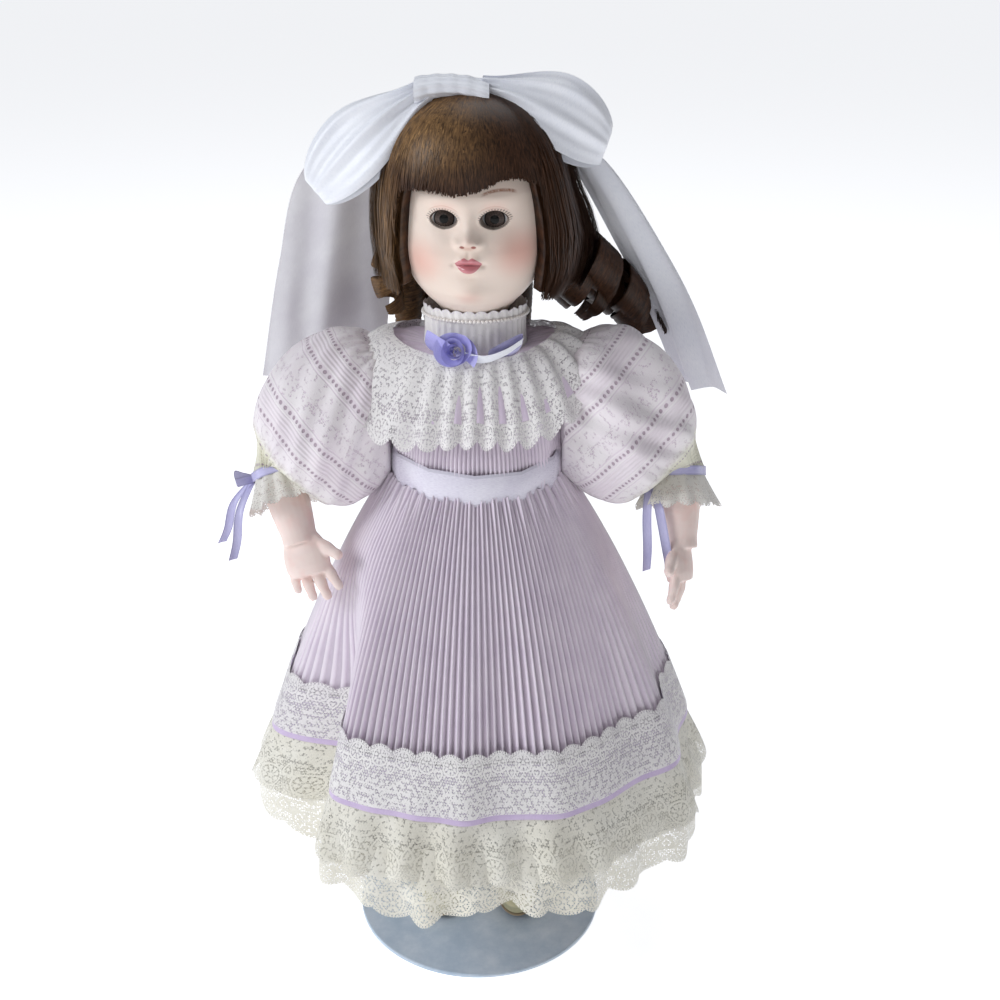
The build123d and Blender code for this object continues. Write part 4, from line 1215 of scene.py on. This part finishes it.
# %% Painted face
def painted_bisque():
    finish = porcelain("bisque_face")
    x, y, z = face_axes(finish)
    where = finish.point(x, y, z)
    side = x.size()
    mottle = finish.noise(where, 0.05, 4.0).ramp(0.35, 0.7)
    colour = finish.mix(mottle * 0.3, (0.82, 0.69, 0.60), (0.79, 0.63, 0.54))
    # Fired colour: cheeks, chin, nose and lids.
    rosy = spot(x, z, 21.0, 358, 15, 15) * 0.9
    rosy = rosy.either(spot(x, z, -21.0, 354, 14, 14) * 0.75)
    rosy = rosy.either(spot(x, z, 0, 339.5, 8, 5) * 0.4).either(spot(x, z, 0, 364, 4, 4) * 0.25)
    rosy = rosy.either(spot(side, z, EYE_AT, 377.5, 8, 4) * 0.3)
    front = 1 - y.ramp(-8.0, 2.0)
    colour = finish.mix(rosy * front * 0.75, colour, (0.72, 0.33, 0.26))
    # Lashes: short strokes round each opening, longer above. rim is 1 on the opening, as in almond.
    dx, dz = (side - EYE_AT) * (1 / EYE_HALF), z - EYE_HIGH
    tall = dz.either(dz * (-EYE_ABOVE / EYE_BELOW)) * (1 / EYE_ABOVE)
    rim = (dx.size() ** 1.8 + tall ** 1.8) ** (1 / 1.8)
    round_ = tall.do("ARCTAN2", dz, dx * EYE_ABOVE)
    stroke = (round_ * 34.0).wave().ramp(-0.1, 0.5)
    above = dz.ramp(-1.0, 1.5)
    reach = above * 0.24 + side.ramp(11.0, 16.0) * 0.14 + 1.08
    lash = stroke * (1 - (rim - reach).ramp(-0.12, 0.0)) * rim.ramp(0.98, 1.02) * 0.62
    line = (1 - (rim - 1.03).size().ramp(0.04, 0.12)) * (above * 0.35 + 0.64)
    crease = (1 - (rim - 1.52).size().ramp(0.02, 0.07)) * dz.ramp(3.0, 4.5) * 0.35
    colour = finish.mix(crease, colour, (0.55, 0.27, 0.20))
    colour = finish.mix(lash.either(line), colour, (0.035, 0.022, 0.02))
    # Brows: fine feathered strokes.
    from_arch = z - 384.3 + (side - 13.0) ** 2.0 * 0.03
    hairs = finish.noise(finish.point(x * 3.0 + z * 2.0, z), 0.8, 2.0).ramp(0.25, 0.6)
    brow = (1 - from_arch.size().ramp(0.3, 0.95)) * side.ramp(4.5, 7.5) * (1 - side.ramp(17.5, 20.0)) * hairs
    colour = finish.mix(brow * 0.9, colour, (0.30, 0.11, 0.055))
    # Nostrils and lips.
    nostril = spot(side, z, 2.4, 362.3, 1.35, 0.95, 0.5)
    # Painted shade under the nose: a brown patch below its tip.
    under = spot(x, z, 0, 361.6, 5.0, 1.6) * 0.45
    colour = finish.mix(under * front, colour, (0.48, 0.24, 0.17))
    colour = finish.mix(nostril * 0.9, colour, (0.26, 0.045, 0.035))
    high = z - MOUTH_HIGH
    out = 1 - (side * (1 / 6.4)) ** 2.0
    dip = 1 - side.ramp(0.0, 1.9)
    top = (3.7 - dip * 1.0) * out
    low = (1 - (side * (1 / 5.3)) ** 2.0) * -3.5
    lips = (top - high).ramp(-0.15, 0.25) * (high - low).ramp(-0.2, 0.3) * (1 - side.ramp(5.5, 6.2)) * front
    parting = (1 - high.size().ramp(0.12, 0.42)) * (1 - side.ramp(4.6, 6.0)) * front
    colour = finish.mix(lips * 0.92, colour, (0.56, 0.16, 0.19))
    colour = finish.mix(parting * 0.85, colour, (0.30, 0.05, 0.06))
    finish.set("Base Color", colour)
    finish.set("Roughness", finish.noise(where, 0.4, 3.0) * 0.10 + 0.42 - lips * 0.22)
    finish.set("Coat Weight", lips * 0.9)
    finish.bump(finish.noise(where, 2.5, 3.0), 0.03, 0.3)
    return finish


head_mesh = outward(drape("head", 260, 210, face_shape, closed=True))
settle("head_bisque", head_mesh, "head", painted_bisque(), ["head"])
print("head:", len(head_mesh.polygons), "faces")

# %% [markdown]
# ## Glass eyes
# Paperweight eyes: a dark brown iris with a fine radial grain under a clear dome, and a pale rim of white.
# The dome is a slight bulge of the ball at the iris, which catches the window light.

# %% Eyes
EYE_RADIUS, EYE_BACK, DOME = 8.2, 20.7, 0.55


def glass_eye():
    finish = Finish("eye_glass", Coat_Weight=0.18, Coat_Roughness=0.02, Specular_IOR_Level=0.1)
    x, y, z = face_axes(finish)
    dx, dz = x.size() - EYE_AT, z - EYE_HIGH
    far = (dx**2.0 + dz**2.0) ** 0.5
    round_ = dx.do("ARCTAN2", dz, dx)
    grain = finish.noise(finish.point(round_ * 9.0, far * 0.4), 1.0, 3.0).ramp(0.3, 0.7)
    iris = finish.mix(grain, (0.026, 0.020, 0.019), (0.125, 0.090, 0.078))
    iris = finish.mix(far.ramp(2.6, 3.9), iris, (0.10, 0.075, 0.065))
    white = finish.mix(far.ramp(4.4, 5.4), (0.50, 0.52, 0.55), (0.78, 0.78, 0.79))
    colour = finish.mix(far.ramp(3.95, 4.35), iris, white)
    colour = finish.mix(1 - (far - 4.1).size().ramp(0.1, 0.45), colour, (0.02, 0.018, 0.02))
    finish.set("Base Color", finish.mix(1 - far.ramp(1.75, 2.0), colour, (0.004, 0.004, 0.004)))
    finish.set("Roughness", far.ramp(3.9, 4.4) * 0.15 + 0.20)
    return finish


def eyeballs():
    bm = bmesh.new()
    c, s = math.cos(FACE_TURN), math.sin(FACE_TURN)
    for side in (1, -1):
        ball = bmesh.ops.create_uvsphere(bm, u_segments=72, v_segments=48, radius=EYE_RADIUS)["verts"]
        for vert in ball:
            x, y, z = vert.co
            dome = math.exp(-((x * x + z * z) / 3.4**2)) * DOME if y < 0 else 0.0
            x, y, z = x + side * EYE_AT, y - EYE_BACK - dome, z + EYE_HIGH
            vert.co = Vector((x * c + y * s, y * c - x * s, z)) * MM
    settle("eyes_glass", mesh_of(bm, "eyes"), "head", glass_eye(), ["eyes"])


eyeballs()
print("eyes ready")

# %% [markdown]
# ## Wig
# The wig is mohair sewn to a cap: a dark cap with thousands of fine locks over it. They fan from the crown,
# stop bluntly above the brows, and run down beside the face. Each lock is a narrow strip, and all of them
# are one grid with every second column of faces removed. The curls are locks wound round an axis.

# %% Locks of hair
def hair_colour():
    finish = Finish("hair", Specular_IOR_Level=0.28)
    u, v = finish.cloth()
    x, y, z = finish.place()
    grain = finish.noise(finish.point(u * 7.0, v * 1.2), 1.0, 3.0).ramp(0.25, 0.75)
    dark = finish.mix(grain, (0.014, 0.006, 0.003), (0.075, 0.031, 0.014))
    highlight_gold = finish.mix(grain, (0.055, 0.026, 0.009), (0.36, 0.20, 0.075))
    # Painted highlight: the locks turn gold high on the crown and down the doll's right side, towards the
    # window lamp, and on the low curls there.
    painted_highlight = (1 - x.ramp(-22.0, 16.0)) * z.ramp(384.0, 404.0)
    painted_highlight = painted_highlight.either((1 - x.ramp(-40.0, -26.0)) * 0.7)
    low_curl_highlight = (1 - x.ramp(-34.0, -20.0)) * (1 - z.ramp(334.0, 350.0)) * 0.55
    streak = finish.noise(finish.point(u * 1.3, v * 0.4), 1.0, 2.0).ramp(0.35, 0.65)
    finish.set("Base Color", finish.mix(painted_highlight.either(low_curl_highlight) * (streak * 0.45 + 0.55), dark, highlight_gold))
    finish.set("Roughness", grain * 0.14 + 0.36)
    return finish


hair_finish = hair_colour()


def locks(name, lines, facing, widths, body, nodes=()):
    """lines and facing are (number, steps, 3) arrays in mm: where each lock runs and which way it faces."""
    number, steps = lines.shape[:2]
    bm = bmesh.new()
    bmesh.ops.create_grid(bm, x_segments=2 * number - 1, y_segments=steps - 1, size=0.5)
    gaps = [f for f in bm.faces if int((f.calc_center_median().x + 0.5) * (2 * number - 1)) % 2]
    bmesh.ops.delete(bm, geom=gaps, context="FACES_ONLY")
    mesh = mesh_of(bm, name)
    u, v = grid_places(mesh)
    column = np.rint(u * (2 * number - 1)).astype(int)
    row = np.rint(v * (steps - 1)).astype(int)
    run = np.gradient(lines, axis=1)
    side = np.cross(run, facing)
    side /= np.linalg.norm(side, axis=2)[..., None] + 1e-9
    lock, edge = column // 2, (column % 2) * 2 - 1
    taper = 1 - 0.55 * (row / (steps - 1)) ** 3
    place = lines[lock, row] + side[lock, row] * (edge * taper * widths[lock] / 2)[:, None]
    mesh.vertices.foreach_set("co", (place * MM).ravel())
    # Each lock reads its own strip of the hair's colour.
    write_uv(mesh, lock * 0.37 + edge * 0.05, row / (steps - 1) * 12)
    return settle(name, mesh, body, hair_finish, nodes)


# Height, half-width, half-depth, middle in y of the hair's outside, from the crown down.
MOP = np.array([
    (420.5, 0.5, 0.5, 2), (419.0, 12, 12, 2), (414, 23, 23, 2.5), (406, 32, 31.5, 3), (395, 38.5, 37.5, 3.5),
    (380, 42.5, 40.5, 4.5), (362, 43.5, 41, 5.5), (347, 41.5, 40, 6.5), (335, 37, 37, 7.5)], float)
MOP_HIGH = through(MOP, np.linspace(0, 1, 400))[:, 0]


def mop_end(angle):
    """Lowest height of the hair at an angle from the front: the fringe, the face sides, the back."""
    left, right = np.radians(-52), np.radians(47)
    low = 339 - 5 * ease((angle - 0.3) / 1.2)
    fringe = 385.0 + 0.9 * np.sin(angle * 9) + 6.0 * bell(angle, math.radians(25), 0.27)
    share = ease((angle - left) / 0.16) * (1 - ease((angle - right + 0.14) / 0.14))
    return low + (fringe - low) * share


def on_mop(angle, t, lift):
    """Where hair lies, t being 0 at the crown and 1 at its end, and lift its height over the wig's cap."""
    stop = np.interp(-mop_end(angle), -MOP_HIGH, np.linspace(0, 1, 400))
    row = through(MOP, (t * stop).ravel()).T.reshape(4, *t.shape)
    swell = 1.3 * ripple(angle, 11, 5) * ease(t * 2)
    puff = 3.2 * bell(angle, -0.1, 0.55) * np.sin(np.pi * np.clip(t, 0, 1)) ** 1.5
    puff = puff + 9.0 * bell(angle, 1.75, 0.75) * ease((388 - row[0]) / 34)
    puff = puff + 3.5 * bell(angle, -1.45, 0.5) * ease((352 - row[0]) / 14)
    grow = 1 + (lift + swell + puff) / 42
    below, beside = ease((378 - row[0]) / 20), ease(np.abs(angle) * 2 - 0.9)
    waves = 1.6 * np.sin(row[0] * 0.34 + angle * 3) * below * beside
    x = row[1] * grow * np.sin(angle) + waves * np.cos(angle) * 0.5
    y = row[3] - row[2] * grow * np.cos(angle) + waves * 0.3
    z = row[0] + lift * 0.25 * (1 - t) - 0.3 * lift * t
    return np.stack([x, y, z], -1)


CAP_OUTSIDE, CAP_INSIDE = -1.2, -5.5
# Locks face away from this point.
HAIR_MIDDLE = np.array((0, 4, 371.9))
draw = np.random.default_rng(17)


def mop_locks(name, number, steps, low, high, lift):
    """Locks from the crown to the end of the hair, at angles from low to high."""
    angle = draw.uniform(low, high, number)[:, None]
    t = np.linspace(0.03, 1, steps)[None] * np.ones((number, 1))
    t = t * draw.uniform(0.95, 1.02, (number, 1))
    lean, bend = draw.normal(0, 0.035, (number, 1)), draw.uniform(0.6, 1.6, (number, 1))
    sway = angle + lean * np.sin(np.pi * t * bend) + 0.03 * np.sin(t * 7 + angle * 9)
    height = lift * draw.uniform(0, 1, (number, 1)) * np.ones_like(t)
    lines = on_mop(sway, t, height)
    locks(name, lines, lines - HAIR_MIDDLE, draw.uniform(0.45, 1.15, number), "head")


def cap_shape(u, v):
    """The cap's outside, then its inside, so that it is a closed shell about 4 mm thick."""
    angle, out = around(u), v < 0.5
    t = np.where(out, 2 * v, 2 - 2 * v)
    outside = on_mop(angle, t, np.full_like(u, CAP_OUTSIDE))
    inside = on_mop(angle, t, np.full_like(u, CAP_INSIDE))
    return np.where(out[:, None], outside, inside).T


cap_mesh = outward(drape("cap", 260, 81, cap_shape, (95, 12), closed=True))
settle("wig_cap", cap_mesh, "head", hair_finish, ["wig"])
mop_locks("wig_locks_front", 2600, 16, -1.0, 0.95, 2.2)
mop_locks("wig_locks_sides", 3600, 14, -math.pi, math.pi, 2.0)
print("wig ready")

# %% Curls
def curl(points, turns, radius, number, steps, spread, seed):
    """Locks wound together round a smooth axis: the spread is how far along it one curl's band reaches.
    Returns where each lock runs and which way it faces."""
    chance = np.random.default_rng(seed)
    t = np.linspace(0, 1, steps)
    offset = chance.uniform(0, 1, number)[:, None]
    at = np.clip(t[None] + (offset - 0.5) * spread, 0, 1)
    axis = through(points, at.ravel()).reshape(number, steps, 3)
    after, before = (through(points, np.clip(at.ravel() + near, 0, 1)) for near in (0.01, -0.01))
    ahead = (after - before).reshape(number, steps, 3)
    ahead /= np.linalg.norm(ahead, axis=2)[..., None]
    one = np.cross(ahead, (0, 1, 0.2))
    one /= np.linalg.norm(one, axis=2)[..., None]
    two = np.cross(ahead, one)
    turn = (t[None] * turns * 2 * math.pi) + chance.normal(0, 0.10, (number, 1)) + seed
    size = radius * (0.55 + 0.6 * np.sin(np.pi * (0.18 + 0.72 * at))) + chance.uniform(-0.7, 0.5, (number, 1))
    out = one * np.cos(turn)[..., None] + two * np.sin(turn)[..., None]
    return axis + out * size[..., None], out


def curls(node, family):
    """Every curl of a family, as one piece."""
    lines, facing = zip(*[curl(*one, 260, 44, 0.24, 31 + i) for i, one in enumerate(family)])
    lines, facing = np.concatenate(lines), np.concatenate(facing)
    swept = locks(f"{node}_locks", lines, facing, draw.uniform(0.6, 1.2, len(lines)), None, [node])
    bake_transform(swept)


# Each curl: the path of its axis, its turns and its radius.
LEFT_CURLS = [
    ([(32, 8, 356), (39, 12, 342), (47, 17, 331), (56, 22, 321)], 2.4, 8.0),
    ([(40, 14, 358), (53, 19, 343), (67, 25, 328), (80, 30, 312)], 2.8, 9.0),
    ([(40, 19, 352), (55, 24, 336), (70, 30, 320), (84, 34, 302)], 2.8, 9.2),
    ([(32, 20, 356), (46, 26, 340), (60, 32, 326), (72, 36, 313)], 2.8, 8.6),
    ([(24, 30, 352), (34, 37, 338), (44, 41, 324), (54, 44, 312)], 2.8, 8.0),
]
BACK_CURLS = [
    ([(x, 43 - x * x * 0.01, 350), (x * 1.05, 49 - x * x * 0.01, 328), (x * 1.12, 52 - x * x * 0.01, 300)],
     3.8, 6.4)
    for x in (-30, -18, -6, 7, 18)
]
BACK_CURLS.append(([(-36, 18, 352), (-41, 22, 336), (-38, 26, 318)], 2.6, 6.0))
curls("ringlets_left", LEFT_CURLS)
curls("ringlets_back", BACK_CURLS)
print("curls ready")

# %% [markdown]
# ## Hair bow
# The bow is broad white satin ribbon: a pleated knot on the crown, and a loop to each side. A loop is one
# length of ribbon that runs out and comes back, gathered hard at the knot, so creases fan out from there.
# Two long tails hang behind, cut straight across at their ends.

# %% Bow
# The right tail's satin is a grey, darker copy of the bow's white satin: painted shade for a tail that hangs
# behind, in shadow.
painted_shade_tail_satin = satin("painted_shade_tail_satin", (0.72, 0.71, 0.73), (0.60, 0.58, 0.62), streak=0.3, rough=0.5)


def bow_loop(name, start, tip, width_way, width, open_by, sag, seed, node):
    """A length of ribbon out from start to tip and back; open_by is how far its two layers stand apart."""
    start, tip = np.array(start, float), np.array(tip, float)
    reach = tip - start
    wide = np.array(width_way, float) / np.linalg.norm(width_way)
    face = np.cross(reach, wide)
    face /= np.linalg.norm(face)
    if face[1] > 0:
        face = -face

    def shape(u, v):
        turn = 2 * math.pi * u
        out = (1 - np.cos(turn)) / 2
        across = 2 * v - 1
        full = (0.34 + 0.66 * ease(out / 0.62)) * np.sqrt(1 - np.clip((out - 0.62) / 0.42, 0, 1) ** 2)
        creases = 1.5 * np.cos(across * 8.5 + seed) + 0.8 * np.cos(across * 15 + seed * 2)
        creases = (1 - out * 0.75) * creases
        fold = 2.2 * np.sin(out * 5 + across * 2.4 + seed) * out * (1 - 0.5 * out)
        bulge = open_by * np.sin(turn) * (0.35 + 0.65 * out) * (1 - 0.30 * across**2)
        cup = -2.6 * across**2 * out
        push = bulge + (creases + fold) * np.where(np.sin(turn) > 0, 1, 0.5) + cup
        place = (start[:, None] + reach[:, None] * out + wide[:, None] * (across * width / 2 * full)
                 + face[:, None] * push)
        place[2] -= sag * out**2 * (1 - across) / 2 - 3.5 * np.sin(np.pi * out)
        return place

    obj = settle(name, drape(name, 150, 40, shape, (150, width), closed=True), "head", white_satin, [node])


bow_loop("hair_bow_loop_right", (-20, -6, 421), (-68, -8, 380), (-0.66, 0.45, 0.62), 33, 5.5, 1, 0.4,
         "bow_loop_right")
bow_loop("hair_bow_loop_left", (2, -6, 422), (56, -8, 401), (0.40, 0.50, 0.80), 31, 7.0, 4, 1.7,
         "bow_loop_left")


def knot_shape(u, v):
    turn = 2 * math.pi * u
    along = 2 * v - 1
    pleat = 0.7 * np.cos(turn * 9) + 0.35 * np.cos(along * 15)
    round_ = (np.abs(np.cos(turn)) ** 2.6 + np.abs(np.sin(turn)) ** 2.6) ** (-1 / 2.6)
    waist = 0.90 + 0.14 * along**2
    x = -9 + 15.5 * along
    y = -4 + (9.0 * waist * round_ + pleat * 0.4) * np.cos(turn)
    z = 422.0 + (4.6 * waist * round_ + pleat * 0.5) * np.sin(turn) - 2.6 * along**2 - 0.05 * (x + 9)
    return x, y, z


bow_knot_mesh = outward(drape("knot", 90, 40, knot_shape, (60, 31), closed=True))
settle("hair_bow_knot", bow_knot_mesh, "head", white_satin, ["bow_knot"])
TAIL_RIGHT_LONG, TAIL_LEFT_LONG = 135, 152


def right_tail(u, v):
    inner = through([(-46, 50, 284), (-38, 34, 345), (-30, 22, 396), (-24, 16, 411)], v)
    outer = through([(-106, 46, 280), (-92, 34, 338), (-77, 24, 382), (-40, 17, 409)], v)
    place = inner * (1 - u[:, None]) + outer * u[:, None]
    hang = 1 - v
    fold = 3.2 * np.sin(u * 7.5 + 0.6) * (0.25 + 0.75 * hang) + 1.5 * np.sin(u * 17 + hang * 3) * hang
    place[:, 1] += fold
    place[:, 2] += 3.0 * np.sin(u * 5) * hang**3
    return place.T


tail_mesh = drape("tail", 60, 90, right_tail, (56, TAIL_RIGHT_LONG))
tail_right = settle("hair_bow_tail_right", tail_mesh, None, painted_shade_tail_satin, ["bow_tail_right"])


def left_tail(u, v):
    inner = through([(97, 42, 276), (78, 34, 318), (60, 24, 352), (40, 10, 388), (26, 4, 406)], v)
    outer = through([(117, 26, 277), (99, 16, 322), (80, 6, 356), (58, -4, 388), (40, -6, 403)], v)
    place = inner * (1 - u[:, None]) + outer * u[:, None]
    hang = 1 - v
    place[:, 0] += (2.4 * np.sin(u * 8 + 0.4) + 1.0 * np.sin(u * 15 + hang * 4)) * (0.4 + 0.6 * hang)
    place[:, 2] += 1.6 * np.sin(u * 9 + 1) * (0.4 + 0.6 * hang)
    return place.T


tail_mesh = drape("tail", 50, 90, left_tail, (30, TAIL_LEFT_LONG))
tail_left = settle("hair_bow_tail_left", tail_mesh, None, white_satin, ["bow_tail_left"])
for tail in (tail_right, tail_left):
    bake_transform(tail)
print("bow ready")

# %% [markdown]
# ## Bloomers, socks and shoes
# These hide under the skirt, but a bared foot would look odd from below. The bloomer legs are gathered
# cotton with a lace frill, the socks are ribbed, and each shoe is a low cream slipper with a strap and a
# pearl button on a stitched sole.

# %% Bloomer legs
LEG_X, BLOOMER_TALL = 20, 47


def ring_about(side, angle, rx, ry, z, y=0.0):
    """A ring round the leg on one side, at height z, its middle at y."""
    return side * LEG_X + rx * np.sin(angle), y - ry * np.cos(angle), z


for name, side in SIDES.items():
    def puffed(u, v):
        angle = around(u)
        r = 14.4 + 2.4 * np.sin(np.pi * np.clip(v, 0, 1)) ** 0.7
        r = r + 0.5 * ripple(angle, 18, 101) * (1 - v * 0.4)
        r = r - 0.9 * np.exp(-(((v - 0.06) / 0.05) ** 2))
        return ring_about(side, angle, r, r, 112 + BLOOMER_TALL * v)

    def frill(u, v):
        angle = around(u)
        r = 14.6 + (1 - v) * (2.2 + 1.1 * ripple(angle, 16, 103))
        return ring_about(side, angle, r, r, 105.5 + 8 * v)

    leg = f"leg_{name}"
    bloomer_mesh = outward(drape("bloomer", 160, 26, puffed, (150, BLOOMER_TALL), closed=True))
    bloomer = settle(f"bloomer_{name}", bloomer_mesh, leg, cotton, [f"bloomer_leg_{name}"])
    settle(f"bloomer_frill_{name}", drape("frill", 180, 8, frill, (130, 8), closed=True), leg, cuff_lace)
print("bloomers ready")

# %% Socks and shoes
# Height, half-width, half-length and middle in y of the foot and ankle.
FOOT = np.array([
    (7.6, 8.5, 16.5, -5.5), (11.6, 10.0, 18.5, -5.5), (16.6, 8.8, 14.5, -2.5), (21.6, 7.6, 8.2, 0.4),
    (28, 7.2, 7.6, 0), (34, 7.2, 7.6, 0), (52, 9.1, 9.6, 0), (58, 9.4, 10.0, 0)])
SOLE_LOW, SOLE_HIGH, SOLE_Y = 4.5, 6.2, -5.5


def foot_ring(side, angle, z, grow, at=None):
    """A ring at height z round the foot's own shape, grow larger; at is the height whose shape it takes."""
    half, long, middle = (np.interp(z if at is None else at, FOOT[:, 0], FOOT[:, k]) for k in (1, 2, 3))
    return ring_about(side, angle, half + grow, long + grow, z, middle)


def ribbed_cotton():
    finish = Finish("sock_cotton", Sheen_Weight=0.4)
    knit = finish.noise(finish.point(*finish.place()), 1.2, 2.0)
    rib = (finish.cloth()[0] * 4.2).wave() * 0.5 + 0.5
    finish.set("Base Color", finish.mix(rib * 0.6 + knit * 0.4, (0.68, 0.66, 0.63), (0.84, 0.83, 0.80)))
    finish.set("Roughness", knit * 0.1 + 0.85)
    finish.bump(rib + knit * 0.4, 0.25, 0.8)
    return finish


def slipper_leather(name, light, dark):
    finish = Finish(name, Coat_Weight=0.25, Coat_Roughness=0.3)
    where = finish.point(*finish.place())
    grain = finish.noise(where, 0.9, 4.0)
    worn = finish.noise(where, 0.08, 3.0).ramp(0.35, 0.7)
    finish.set("Base Color", finish.mix(worn * 0.5 + grain * 0.3, light, dark))
    finish.set("Roughness", grain * 0.25 + 0.35)
    finish.bump(grain, 0.08, 0.6)
    return finish


sock_finish = ribbed_cotton()
cream_leather = slipper_leather("slipper_cream", (0.72, 0.68, 0.44), (0.56, 0.51, 0.30))
sole_leather = slipper_leather("slipper_sole", (0.46, 0.36, 0.25), (0.32, 0.24, 0.16))

for name, side in SIDES.items():
    def sock(u, v):
        angle, z = around(u), 9.0 + 44.0 * v
        welt = 0.35 * ease((v - 0.90) / 0.03)
        ankle_folds = 0.25 * np.sin(z * 1.1) * bell(z / 8, 3.2, 0.3)
        return foot_ring(side, angle, z, 0.15 + 0.5 * ease((z - 22) / 6) + welt + ankle_folds)

    def upper(u, v):
        """Outside from the sole up to the top line, then the inside back down."""
        angle, out = around(u), v < 0.5
        t = np.where(out, 2 * v, 2 - 2 * v)
        top = 15.4 + 1.6 * ease(-np.cos(angle))
        z = 6.3 + (top - 6.3) * t
        grow = np.where(out, 1.4, 0.35) + 0.35 * np.sin(np.pi * v) ** 12
        return foot_ring(side, angle, z, grow, np.maximum(z, FOOT[0, 0]))

    def sole(u, v):
        angle = around(u)
        edge = np.sin(np.pi * v) ** 0.35
        heel = 1 - 0.08 * bell(angle, math.pi, 0.9) + 0.02 * np.cos(2 * angle)
        z = SOLE_LOW + (SOLE_HIGH - SOLE_LOW) * v
        return ring_about(side, angle, 10.6 * edge * heel, 18.6 * edge * heel, z, SOLE_Y)

    def strap(u, v):
        turn = -1.25 + 2.5 * v
        y, z = 0.2 - 8.525 * np.cos(turn) + 2.64 * (u - 0.5), 15.0 + 6.2 * np.cos(turn) + 2.6 * (u - 0.5)
        return side * LEG_X + 9.8 * np.sin(turn), y, z

    leg = f"leg_{name}"
    sock_mesh = outward(drape("sock", 120, 40, sock, (60, 44), closed=True))
    settle(f"sock_{name}_ribbed", sock_mesh, leg, sock_finish, [f"sock_{name}"])
    upper_mesh = outward(drape("upper", 90, 24, upper, (90, 20), closed=True))
    settle(f"shoe_{name}_upper", upper_mesh, leg, cream_leather, [f"shoe_{name}"])
    sole_mesh = outward(drape("sole", 90, 12, sole, (90, 12), closed=True))
    settle(f"shoe_{name}_sole", sole_mesh, leg, sole_leather)
    settle(f"shoe_{name}_strap", drape("strap", 4, 40, strap, (3, 26)), leg, cream_leather)
    button_bm = bmesh.new()
    add_bead(button_bm, (side * (LEG_X + 8.9), -4.2, 17.2), 1.1, 3)
    settle(f"shoe_{name}_button", mesh_of(button_bm, "button"), leg, pearl_gloss())
print("socks and shoes ready")
